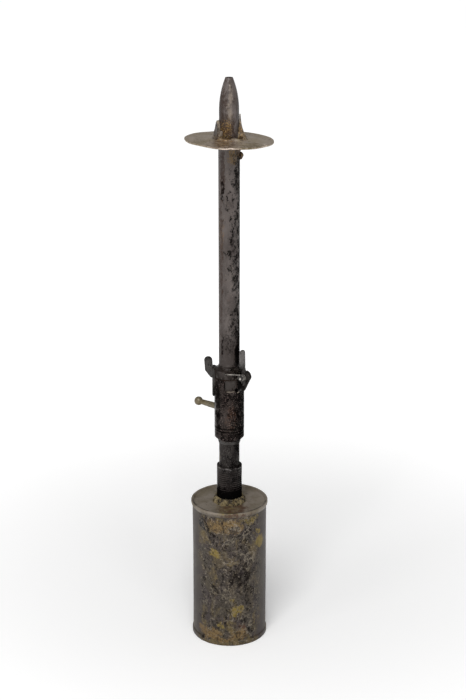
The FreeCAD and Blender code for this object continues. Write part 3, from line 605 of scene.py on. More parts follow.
TIP_MARKS = on_wall(
    PLAN.tip_wall,
    # Darker streaks down both sides: painted shade, the left one also a brown stain.
    Mark(-52, 455, 3.6, 34, Tone.DEEP_BROWN, 0.9, 420),
    Mark(62, 458, 2.6, 30, Tone.TUBE, 0.8, 420),
    Mark(-20, 441, 7, 14, Tone.EMBER, 0.85, 500),
    Mark(22, 438, 5, 12, Tone.EMBER, 0.6, 500),
    Mark(-6, 450, 9, 13, Tone.DEEP_BROWN, 0.8, 500),
) + on_wall(
    PLAN.tip_wall - 2,
    # A paler band down the middle: painted highlight.
    Mark(8, 464, 3.4, 26, Tone.DISC_GREY, 0.55, strength=0.45),
) + on_wall(
    PLAN.tip_wall,
    Mark(8, 456, 7, 16, Tone.SCRATCH_AND_GLINT, 0.10, 1600, 0.8),
    Mark(0, 446, 9, 9, Tone.EMBER, 0.45, 700, 0.8),
    Mark(-14, 444, 8, 15, Tone.GOLD, 0.30, 1300),
    Mark(30, 446, 5, 9, Tone.SCRATCH_AND_GLINT, 0.12, 1600, 0.7),
)
DISC_MARKS = (
    Mark(-16, 436, 14, 9, Tone.EMBER, 0.62, 420, 0.8, radius=15),
    Mark(-20, 437, 13, 7, Tone.GOLD, 0.32, 1300, radius=15),
    Mark(-77, 444, 6, 13, Tone.TIP, 0.8, 420, radius=11),
    Mark(-62, 440, 5, 8, Tone.EMBER, 0.5, 500, radius=12),
    Mark(-70, 448, 3, 4, Tone.SLEEVE, 0.7, 420, radius=11),
    Mark(88, 446, 5, 14, Tone.DEEP_BROWN, 0.7, 420, 0.85, radius=10),
    Mark(74, 441, 7, 10, Tone.EMBER, 0.6, 500, radius=12),
    Mark(78, 443, 7, 11, Tone.GOLD, 0.36, 1300, radius=11),
    Mark(-50, 436, 12, 5, Tone.OLIVE, 0.45, 500, radius=30),
) + on_wall(
    PLAN.disc_rim,
    # Pale thin lines along the rim's edge: painted highlights.
    Mark(-2, 434.5, 14, 0.8, Tone.EDGE, 0.9, 420),
    Mark(52, 434.2, 5, 1.0, Tone.EDGE, 0.7, 420),
    Mark(-72, 436.0, 5, 1.0, Tone.EDGE, 0.6, 420),
) + (
    Mark(-8, 436, 22, 4, Tone.RUST, 0.5, 500, 0.7, radius=26),
    Mark(30, 434.5, 16, 2, Tone.OLIVE, 0.7, 420, radius=34),
)
CATCH_MARKS = (
    # A black patch on the catch's tail: painted shade.
    Mark(36, 231.5, 4.5, 7, Tone.PIT_AND_SHADE, 0.95, ragged=False, radius=14.0),
    Mark(45, 256.5, 9, 11, Tone.PALE_STEEL, 0.75, 420, 0.62, radius=15.3),
)
PIN_MARKS = (
    # A bright dot on the pin's end: painted highlight.
    Mark(29.5, PLAN.pin_level, 1.5, 1.5, Tone.BRIGHT_WIRE, 1.0, radius=17.95),
)
IRON_MARKS = on_wall(
    PLAN.stem_wall,
    Mark(-8, 166, 9, 16, Tone.PALE_STEEL, 0.2, 700, 0.6),
    Mark(0, 167, 10, 14, Tone.PIT_AND_SHADE, 0.3, 600, 0.9),
    # Thin pale streaks down both edges: painted highlights.
    Mark(-70, 167, 0.6, 20, Tone.SCRATCH_AND_GLINT, 0.6, 420, 0.6),
    Mark(76, 167, 0.5, 20, Tone.SCRATCH_AND_GLINT, 0.6, 420, 0.6),
) + on_wall(
    PLAN.socket_wall,
    # Thin pale streaks down both edges: painted highlights.
    Mark(77, 146, 0.6, 16, Tone.SCRATCH_AND_GLINT, 0.6, 420, 0.6),
    Mark(-75, 146, 0.6, 14, Tone.PALE_STEEL, 0.6, 420, 0.6),
    Mark(0, 155.6, 30, 1.0, Tone.PALE_STEEL, 0.5, 420, 0.7),
    Mark(0, 130.5, 30, 13, Tone.PIT_AND_SHADE, 1.0, strength=1.0),
)
LID_MARKS = (
    Mark(0, PLAN.lid_panel, 17, 4, Tone.YELLOW, 0.45, 700, radius=15),
    Mark(6, PLAN.lid_panel, 20, 4, Tone.DEEP_BROWN, 0.4, radius=25),
    Mark(0, 121.6, 36, 3.2, Tone.TIN_GREY, 0.9, strength=0.5, ragged=False, radius=32.8),
    Mark(10, 122.0, 26, 4, Tone.RUST, 0.6, strength=0.7, radius=32.5),
)


class Finish(Enum):
    """Which finish a piece or a carried-over node wears."""

    CAN = LacqueredTin("lacquered_tin", CAN_MARKS)
    LID = WornMetal("lid_tin", Tone.LID_GREY, Tone.LID_OLIVE, pit=Tone.TIN_DARK, pitting=0.25,
                    chipped=0.2, grain=700, rough=(0.38, 0.6), relief=0.15, metallic=0.1,
                    marks=LID_MARKS, crevice_shade=31.3)
    IRON = WornMetal("black_iron", Tone.IRON, Tone.IRON_WORN, chip=Tone.PALE_STEEL, pitting=0.62,
                     lean=6.0, grain=1000, rough=(0.34, 0.55), specular=0.14, marks=IRON_MARKS,
                     creases=(180.0,), threads=(134.0, 153.0, PLAN.thread_pitch))
    SLEEVE = WornMetal("sleeve_steel", Tone.SLEEVE, Tone.SLEEVE_WORN, chip=Tone.SLEEVE_CHIP,
                       pitting=0.78, rusting=0.35, chipped=0.7, lean=6.0, blotch=150.0,
                       rough=(0.3, 0.48), relief=0.4, specular=0.22, marks=SLEEVE_MARKS,
                       creases=(PLAN.sleeve_joint + 2.7, PLAN.sleeve_joint))
    BARREL = WornMetal("barrel_steel", Tone.SLEEVE_WORN, Tone.STEEL, pit=Tone.SLEEVE, pitting=0.4,
                       rough=(0.4, 0.6), relief=0.2, specular=0.12, marks=BARREL_MARKS)
    TUBE = WornMetal("tube_steel", Tone.TUBE, Tone.TUBE_WORN, rust=Tone.RUST, pitting=0.52,
                     rusting=0.32, lean=10.0, grain=850, rough=(0.36, 0.55), relief=0.4,
                     specular=0.25, marks=TUBE_MARKS)
    COLLAR = WornMetal("collar_steel", Tone.SLEEVE, Tone.SLEEVE_WORN, rusting=0.3, lean=8.0,
                       rough=(0.28, 0.44), creases=(PLAN.sleeve_top + 0.6,))
    TIP = WornMetal("tip_steel", Tone.TIP, Tone.TIP_WORN, pit=Tone.DEEP_BROWN, rust=Tone.RUST,
                    rusting=0.3, lean=-6.0, rough=(0.32, 0.5), metallic=0.1, specular=0.35,
                    marks=TIP_MARKS)
    DISC = WornMetal("disc_plate", Tone.DISC_GREY, Tone.DISC_OLIVE, pit=Tone.DEEP_BROWN,
                     rust=Tone.RUST, pitting=0.35, rusting=0.25, grain=800, rough=(0.34, 0.52),
                     relief=0.2, metallic=0.15, specular=0.4, marks=DISC_MARKS)
    CATCH = WornMetal("catch_steel", Tone.IRON, Tone.STEEL, grain=1200, rough=(0.26, 0.44),
                      relief=0.2, specular=0.25, marks=CATCH_MARKS)
    BRASS = WornMetal("aged_brass", Tone.BRASS, Tone.OLIVE, pit=Tone.BRASS_DARK,
                      rust=Tone.BRASS_DARK, rusting=0.35, grain=1000, relief=0.2, metallic=0.3,
                      specular=0.4)
    SPELTER = WornMetal("spelter", Tone.SPELTER, Tone.OLIVE, pit=Tone.TIN_DARK, rust=Tone.RUST,
                        pitting=0.72, rusting=0.5, chipped=0.6, blotch=420.0, rough=(0.36, 0.6),
                        relief=0.6, metallic=0.1, specular=0.35)
    BRAZE = WornMetal("brazing", Tone.BRAZE, Tone.OCHRE, pit=Tone.EMBER, rust=Tone.EMBER,
                      pitting=0.8, rusting=0.6, chipped=0.7, blotch=420.0, relief=0.6, metallic=0.2,
                      specular=0.4)
    PIN = WornMetal("pin_steel", Tone.IRON, Tone.STEEL, pitting=0.4, grain=1500,
                    rough=(0.25, 0.42), relief=0.1, metallic=0.1, marks=PIN_MARKS)
    WIRE = WornMetal("spring_wire", Tone.BRIGHT_WIRE, Tone.STEEL, pit=Tone.DEEP_BROWN,
                     rust=Tone.RUST, pitting=0.3, rusting=0.15, grain=1500, rough=(0.25, 0.42),
                     relief=0.1, metallic=0.5, specular=0.4)
    FIBRE = WornMetal("fibre", Tone.FIBRE, Tone.DEEP_BROWN, pit=Tone.IRON, pitting=0.4, grain=1500,
                      rough=(0.7, 0.9), specular=0.2)


class Wardrobe:
    """Makes each finish once and hands it out."""

    def __init__(self) -> None:
        """Start with no materials made."""
        self.made: dict[Finish, bpy.types.Material] = {}

    def wear(self, thing: bpy.types.Object, finish: Finish) -> None:
        """Put a finish on a piece or node, in place of what it had.

        Args:
            thing: the object to dress.
            finish: which finish.
        """
        if finish not in self.made:
            self.made[finish] = finish.value.build()
        thing.data.materials.clear()
        thing.data.materials.append(self.made[finish])


def unit(vectors: Array) -> Array:
    """Vectors of the same directions and length 1."""
    return vectors / np.linalg.norm(vectors, axis=-1, keepdims=True)


def grade(value: Array, start: float, finish: float) -> Array:
    """Straight rise from 0 at start to 1 at finish."""
    return np.clip((value - start) / (finish - start), 0, 1)


def apart(angle: Array, turn: float) -> Array:
    """Degrees between angles, in radians, and a direction, in degrees."""
    return np.degrees(np.abs(np.angle(np.exp(1j * (angle - math.radians(turn))))))


def facing(azimuth: float) -> Array:
    """Directions outward, sideways and up at an azimuth in degrees, one in each row."""
    turn, rise = math.cos(math.radians(azimuth)), math.sin(math.radians(azimuth))
    return np.array([(turn, rise, 0.0), (-rise, turn, 0.0), (0.0, 0.0, 1.0)])


def arc_corners(corners: Sequence[tuple[float, float, float]], steps: int = 8) -> Array:
    """Round the corners of a closed outline.

    Each corner (u, v, radius) is replaced by an arc that touches both of its sides: its tangent
    points lie radius / tan(half the corner's angle) from the corner.

    Args:
        corners: corner points with their radii; radius 0 stays sharp.
        steps: points along each arc.

    Returns:
        The rounded outline as points (n, 2).
    """
    spots = np.array(corners, float)[:, :2]
    part = np.linspace(0, 1, steps)[:, None]
    arcs = []
    for index, (_, _, radius) in enumerate(corners):
        here = spots[index]
        if radius <= 0:
            arcs.append(here[None])
            continue
        before = unit(spots[index - 1] - here)
        after = unit(spots[(index + 1) % len(spots)] - here)
        half = math.acos(np.clip(before @ after, -1, 1)) / 2
        centre = here + unit(before + after) * radius / math.sin(half)
        reach = radius / math.tan(half)
        sweep = math.pi - 2 * half
        start = (here + before * reach - centre) * np.sin((1 - part) * sweep)
        finish = (here + after * reach - centre) * np.sin(part * sweep)
        arcs.append(centre + (start + finish) / math.sin(sweep))
    return np.vstack(arcs)


def densify(outline: Array, longest: float, closed: bool = True) -> Array:
    """Put more points on the long sides of an outline.

    Args:
        outline: points (n, k).
        longest: no side stays longer than this.
        closed: whether the last point joins the first.

    Returns:
        The outline with added points.
    """
    starts = outline if closed else outline[:-1]
    gaps = np.roll(outline, -1, axis=0)[:len(starts)] - starts
    parts = np.linalg.norm(gaps, axis=1) / longest
    pieces = np.maximum(1, np.ceil(parts - ROUNDING)).astype(int)
    side = np.repeat(np.arange(len(starts)), pieces)
    step = np.arange(len(side)) - np.repeat(np.cumsum(pieces) - pieces, pieces)
    points = starts[side] + gaps[side] * (step / pieces[side])[:, None]
    return points if closed else np.vstack([points, outline[-1:]])


def ripple(theta: Array, up: Array, seed: int, waves: int, scale: float) -> Array:
    """Smooth unevenness: a sum of waves round and along, with fixed random phases.

    Args:
        theta: angles round the axis.
        up: heights in millimetres.
        seed: which set of phases.
        waves: how many waves are added.
        scale: waves per metre along the height.

    Returns:
        Values between about -1 and 1.
    """
    chance = np.random.default_rng(seed)
    total = np.zeros(np.broadcast(theta, up).shape)
    for _ in range(waves):
        round_count = chance.integers(1, 9)
        along = chance.uniform(-1, 1) * scale * MM * TURN
        total = total + np.sin(round_count * theta + along * up + chance.uniform(0, TURN))
    return total / math.sqrt(waves)


def make_object(name: str, points: Array, faces: Faces, sharp: float = 40.0) -> bpy.types.Object:
    """Make a mesh object from points and faces, shaded smooth except across sharp edges.

    Args:
        name: object name.
        points: vertices (n, 3) in millimetres.
        faces: vertex numbers of each face.
        sharp: edges bent by more than this many degrees stay sharp.

    Returns:
        The new object, linked to the scene.
    """
    mesh = bpy.data.meshes.new(name)
    mesh.from_pydata((points * MM).tolist(), [], faces)
    mesh.validate()
    mesh.shade_smooth()
    mesh.set_sharp_from_angle(angle=math.radians(sharp))
    thing = bpy.data.objects.new(name, mesh)
    bpy.context.scene.collection.objects.link(thing)
    return thing


def grid_faces(rows: int, columns: int, wrap_rows: bool = False) -> Faces:
    """Quads of a grid whose columns close on themselves.

    Args:
        rows: rings along the profile.
        columns: points round each ring.
        wrap_rows: whether the last ring joins the first.

    Returns:
        Faces that are turned outward for a profile that runs anticlockwise.
    """
    number = np.arange(rows * columns).reshape(rows, columns)
    above = np.roll(number, -1, axis=0)
    beside = np.roll(number, -1, axis=1)
    corner = np.roll(above, -1, axis=1)
    quads = np.stack([number, beside, corner, above], axis=-1)
    return (quads if wrap_rows else quads[:-1]).reshape(-1, 4).tolist()


def end_fans(rows: int, columns: int) -> Faces:
    """Triangles from the first and last ring to the two points that follow all rings.

    Args:
        rows: rings along the profile.
        columns: points round each ring.

    Returns:
        The faces of both ends.
    """
    first = np.arange(columns)
    last = first + (rows - 1) * columns
    tip = np.full(columns, rows * columns)
    start = np.stack([tip, np.roll(first, -1), first], axis=-1)
    end = np.stack([tip + 1, last, np.roll(last, -1)], axis=-1)
    return start.tolist() + end.tolist()


@dataclass
class Turned:
    """A surface turned about Z: radius r, height z and angle a give (r cos a, r sin a, z).

    The grids have a row for each point of the profile and a column for each angle, and may be
    changed before the surface is made. ends are the heights of two points on the axis, or nothing.
    """

    angle: Array
    radius: Array
    up: Array
    ends: Sequence[float] = ()

    @classmethod
    def profile(cls, points: Array, columns: int, poles: bool = False) -> "Turned":
        """Lay out the grids of a profile that is the same all round.

        Args:
            points: points (r, z), anticlockwise; closed, or from axis to axis with poles.
            columns: points round each ring.
            poles: whether the profile starts and ends on the axis.

        Returns:
            The surface's grids.
        """
        inner = points[1:-1] if poles else points
        angle = np.linspace(0, TURN, columns, endpoint=False) + np.zeros((len(inner), 1))
        radius, up = inner.T[:, :, None] + np.zeros(columns)
        return cls(angle, radius, up, points[[0, -1], 1] if poles else ())

    def make(self, name: str, sharp: float = 40.0, place: Place | None = None) -> bpy.types.Object:
        """Make the surface.

        Args:
            name: object name.
            sharp: angle over which an edge stays sharp.
            place: puts the turned points into the frame.

        Returns:
            The new object.
        """
        across = self.radius * np.cos(self.angle)
        deep = self.radius * np.sin(self.angle)
        points = np.stack([across, deep, self.up], axis=-1).reshape(-1, 3)
        faces = grid_faces(*self.up.shape, wrap_rows=not len(self.ends))
        if len(self.ends):
            points = np.vstack([points, [(0, 0, end) for end in self.ends]])
            faces += end_fans(*self.up.shape)
        return make_object(name, place(points) if place else points, faces, sharp)


def swept_tube(name: str, path: Array, radius: float, columns: int = 12) -> bpy.types.Object:
    """Carry a ring along a path, turning it no more than the path bends.

    Args:
        name: object name.
        path: points (n, 3).
        radius: ring radius; the first and last ring are drawn in.
        columns: points round the ring.

    Returns:
        The new object, with closed ends.
    """
    heading = unit(np.gradient(path, axis=0))
    side = np.cross(heading[0], (0.3, 0.5, 0.8))
    sides = []
    for way in heading:
        side = unit(side - way * (side @ way))
        sides.append(side)
    sides = np.array(sides)[:, None, :]
    other = np.cross(heading, sides[:, 0])[:, None, :]
    size = np.full((len(path), 1, 1), radius)
    size[[0, -1]] *= 0.6
    angle = np.linspace(0, TURN, columns, endpoint=False)[None, :, None]
    rings = path[:, None, :] + (sides * np.cos(angle) + other * np.sin(angle)) * size
    points = np.vstack([rings.reshape(-1, 3), path[0], path[-1]])
    return make_object(name, points, grid_faces(len(path), columns) + end_fans(len(path), columns), 60)


def stacked_rings(name: str, rings: Array) -> bpy.types.Object:
    """Join a stack of equal rings by quads and close both ends flat.

    Args:
        name: object name.
        rings: points (rows, columns, 3).

    Returns:
        The new object.
    """
    rows, columns, _ = rings.shape
    first = list(range(columns))
    last = [number + columns * (rows - 1) for number in first]
    return make_object(name, rings.reshape(-1, 3), grid_faces(rows, columns) + [first[::-1], last], 50)


def plate_surface(name: str, outline: Array, low: float, high: float, edge: float,
                  axes: Array) -> bpy.types.Object:
    """Give an outline thickness, with quarter-round edges.

    Rings of the outline are drawn in by edge * (1 - cos a) at height edge * sin a from each face.

    Args:
        name: object name.
        outline: anticlockwise points (u, v).
        low, high: the plate's two faces along w.
        edge: rounding radius.
        axes: directions of u, v and w in the frame, one in each row.

    Returns:
        The new object.
    """
    before = unit(outline - np.roll(outline, 1, axis=0))
    along = unit(before + np.roll(before, -1, axis=0))
    inward = np.stack([-along[:, 1], along[:, 0]], axis=-1)
    bend = np.linspace(0, math.pi / 2, 5)
    inset = edge * (1 - np.cos(bend))
    depth = edge * (1 - np.sin(bend))
    flat = outline + inward * np.concatenate([inset[::-1], inset])[:, None, None]
    level = np.concatenate([low + depth[::-1], high - depth])[:, None, None]
    rings = np.concatenate([flat, level + np.zeros((len(outline), 1))], axis=-1)
    return stacked_rings(name, rings @ axes)


@dataclass
class SubAssembly:
    """A group of pieces that belong together."""

    wardrobe: Wardrobe
    nodes: dict[str, bpy.types.Object]
    pieces: list[bpy.types.Object] = field(default_factory=list)

    def add(self, piece: bpy.types.Object, body: str, finish: Finish, slot: str, *stands_for: str) -> None:
        """Dress a new piece and tie it to its body.

        Args:
            piece: the new object.
            body: body that it moves with.
            finish: what it wears.
            slot: the record's material slot; not used.
            stands_for: nodes that it replaces.
        """
        self.wardrobe.wear(piece, finish)
        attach(piece, body)
        if stands_for:
            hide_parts(*stands_for)
        self.pieces.append(piece)

    def dress(self, finish: Finish, *names: str) -> None:
        """Dress the carried-over nodes of these names."""
        for name in names:
            self.wardrobe.wear(self.nodes[name], finish)

    def report(self) -> None:
        """Say which pieces were made."""
        for piece in self.pieces:
            LOG.info("%s: %d faces", piece.name, len(piece.data.polygons))


@dataclass
class FuelCan(SubAssembly):
    """The seamed tin can: wall, lid and bottom.

    seam is how far the lid's bead stands out, play the room between two sheets, panel the height of
    the recessed bottom, dent and lap the depth of dents and side seam, and lap_span the degrees from
    the back between which the side seam steps out.
    """

    height: float = PLAN.can_top
    radius: float = PLAN.can_wall
    gauge: float = 0.6
    seam: float = 1.2
    play: float = 0.05
    panel: float = 3.0
    dent: float = 0.12
    lap: float = 0.35
    lap_span: tuple[float, float] = (4.87, 3.724)
    columns: int = 192

    def build(self) -> None:
        """Make the wall and both seamed ends."""
        self.wall()
        self.lid()
        self.foot()

    def wall(self) -> None:
        """Wall: a rectangle turned about the axis, with shallow dents and a lapped seam.

        Dents swell between the two ends, and the lap stops short of them.
        """
        low, high = self.panel + self.gauge, PLAN.lid_panel - self.gauge
        inside = self.radius - self.gauge
        corners = [(inside, low), (self.radius, low), (self.radius, high), (inside, high)]
        skin = Turned.profile(densify(np.array(corners), 2.0), self.columns)
        middle = np.clip(np.sin(math.pi * (skin.up - low) / (high - low)), 0, 1) ** 0.5
        lap = self.lap * grade(apart(skin.angle, 90), *self.lap_span)
        lap *= grade(skin.up, 6, 7) * grade(skin.up, self.height - 7, self.height - 8)
        dents = ripple(skin.angle, skin.up, seed=3, waves=9, scale=16)
        skin.radius += self.dent * dents * middle + lap
        self.add(skin.make("can_wall"), STAND, Finish.CAN, "tin", "can_body")

    def lid(self) -> None:
        """Lid: panel, raised bead and a skirt that draws in to the wall below it.

        The panel drums by fractions of a millimetre and the bead is not quite true.
        """
        rim, top, panel = self.radius + self.seam, self.height, PLAN.lid_panel
        hole, wall = PLAN.socket_wall + self.play, self.radius + self.play
        under, skirt = panel - self.gauge, top - 4.6
        corners = [
            (hole, panel, 0), (hole, under, 0), (wall, under, 0), (wall, skirt, 0),
            (wall + 0.3, skirt, 0.1), (rim, top - 2.4, 1.2), (rim, top, 0.9), (rim - 2.0, top, 0.7),
            (rim - 2.6, panel, 0.6),
        ]
        skin = Turned.profile(densify(arc_corners(corners), 3.0), self.columns)
        flat = (skin.radius < rim - 3) & (skin.radius > 12)
        drum = 0.10 * ripple(skin.angle, skin.radius, seed=5, waves=6, scale=40)
        sway = 0.05 * ripple(skin.angle, skin.up, seed=6, waves=6, scale=30)
        skin.up += np.where(flat, drum, 0.0)
        skin.radius += np.where(flat, 0.0, sway)
        self.add(skin.make("can_lid"), STAND, Finish.LID, "tin", "can_top")

    def foot(self) -> None:
        """Bottom: recessed panel and the rolled seam that the can stands on."""
        under, over = self.panel, self.panel + self.gauge
        inside, wall, rim = self.radius - self.seam, self.radius + self.play, self.radius + 0.75
        corners = np.array([
            (0, under), (inside, under), (inside, 0), (rim - 0.45, 0), (rim, self.gauge), (rim, over),
            (rim - 0.35, over + 0.9), (wall, over + 1.0), (wall, over), (0, over),
        ])
        skin = Turned.profile(densify(corners, 3.0, False), self.columns, True)
        self.add(skin.make("can_foot"), STAND, Finish.CAN, "tin", "can_bottom")


@dataclass
class StemGroup(SubAssembly):
    """Threaded socket, its lumpy solder, the stem pipe and the rings on it.

    bore and passage are the socket's wide and narrow inner radius, tail its length under the lid and
    thread the depth of its ridges.
    """

    lid: float = PLAN.lid_panel
    top: float = PLAN.socket_top
    radius: float = PLAN.socket_wall
    bore: float = 8.64
    passage: float = 6.25
    tail: float = 7.6
    pitch: float = PLAN.thread_pitch
    thread: float = 0.34
    columns: int = 128
    heap_columns: int = 160

    def build(self) -> None:
        """Make the socket and solder, and dress the pipes."""
        self.socket()
        self.solder()
        self.dress(Finish.IRON, "stem_pipe", "socket_locknut")
        self.dress(Finish.CATCH, "stem_packing_ring")
        self.dress(Finish.FIBRE, "regulator_washer", "jet_washer", "collar_gasket")

    def socket(self) -> None:
        """Socket: a turned wall whose outside carries a worn screw thread.

        The thread's depth at angle a and height z is a wave of z / pitch - a / 2 pi, fading at
        both ends.
        """
        low, top = self.lid - self.tail, self.top
        corners = [
            (self.passage, low, 0), (self.radius, low, 0), (self.radius, top, 0.4),
            (self.bore + 1.0, top, 0.2), (self.bore, top - 1.2, 0), (self.bore, self.lid, 0),
            (self.passage, self.lid, 0),
        ]
        skin = Turned.profile(densify(arc_corners(corners, 5), 0.3), self.columns)
        fade = grade(skin.up, self.lid + 9, self.lid + 12) * grade(skin.up, top - 3, top - 5)
        wave = np.cos(TURN * skin.up / self.pitch - skin.angle)
        uneven = 0.05 * ripple(skin.angle, skin.up, seed=8, waves=6, scale=60)
        ridges = uneven - self.thread * (0.5 + 0.5 * wave) * fade
        skin.radius += np.where(skin.radius > self.radius - 0.05, ridges, 0.0)
        self.add(skin.make("socket_threaded"), STAND, Finish.IRON, "black_iron", "filler_socket")

    def solder(self) -> None:
        """Solder: a low fillet round the socket, heaped into lumps and tear drops.

        Heaps grow with the height over the lid and stay off the socket.
        """
        inner, low, high = self.radius + 0.05, self.lid, self.lid + 4.8
        corners = [
            (inner, low, 0), (inner + 3.4, low, 0), (inner + 2.5, low + 2.1, 0.9),
            (inner + 0.9, high, 0.6), (inner, high, 0),
        ]
        skin = Turned.profile(densify(arc_corners(corners, 6), 0.4), self.heap_columns)
        free = grade(skin.radius, inner, inner + 1)
        lumps = 0.3 * ripple(skin.angle, skin.up + skin.radius, seed=11, waves=8, scale=300)
        lumps += 0.45 * ripple(4 * skin.angle, skin.radius, seed=12, waves=6, scale=200)
        drops = np.abs(ripple(2 * skin.angle, skin.radius, seed=13, waves=7, scale=220))
        drops *= grade(skin.up, low, low + 1)
        skin.radius += 0.8 * lumps * free
        skin.up += 0.9 * drops * free
        piece = skin.make("socket_solder_heap", 70)
        self.add(piece, STAND, Finish.SPELTER, "solder", "socket_solder")


@dataclass
class AirSleeve(SubAssembly):
    """The sleeve with its nut, the regulator inside it and the ball lever.

    The lever lies at a level and azimuth; its ball's middle is at reach, and waist is the rod's least
    radius.
    """

    level: float = PLAN.lever_level
    azimuth: float = 140.0
    ball: float = 3.75
    reach: float = 34.2
    waist: float = 2.15
    columns: int = 64

    def build(self) -> None:
        """Make the lever and dress the sleeve."""
        self.lever()
        self.dress(Finish.SLEEVE, "air_sleeve", "sleeve_nut")
        self.dress(Finish.BARREL, "regulator_barrel")
        self.dress(Finish.BRASS, "gas_jet")

    def lever(self) -> None:
        """Lever: a rod that swells a little past its root, narrows to a waist and ends in a ball."""
        angle = np.linspace(math.pi - math.asin(self.waist / self.ball), 0, 26)
        cap = np.column_stack([self.ball * np.sin(angle), self.reach + self.ball * np.cos(angle)])
        rod = [(0, 7.3), (2.45, 7.3), (2.45, 12), (2.62, 16), (2.55, 22), (2.3, 28), (self.waist, 30.4)]
        profile = densify(np.vstack([rod, cap]), 0.8, False)
        piece = Turned.profile(profile, self.columns, True).make("lever_ball_rod", place=self.lay_out)
        self.add(piece, REGULATOR, Finish.BRASS, "brass_parts", "regulator_lever")

    def lay_out(self, points: Array) -> Array:
        """Lay the upright lever down along its azimuth, at its height."""
        return points @ facing(self.azimuth)[[1, 2, 0]] + (0, 0, self.level)


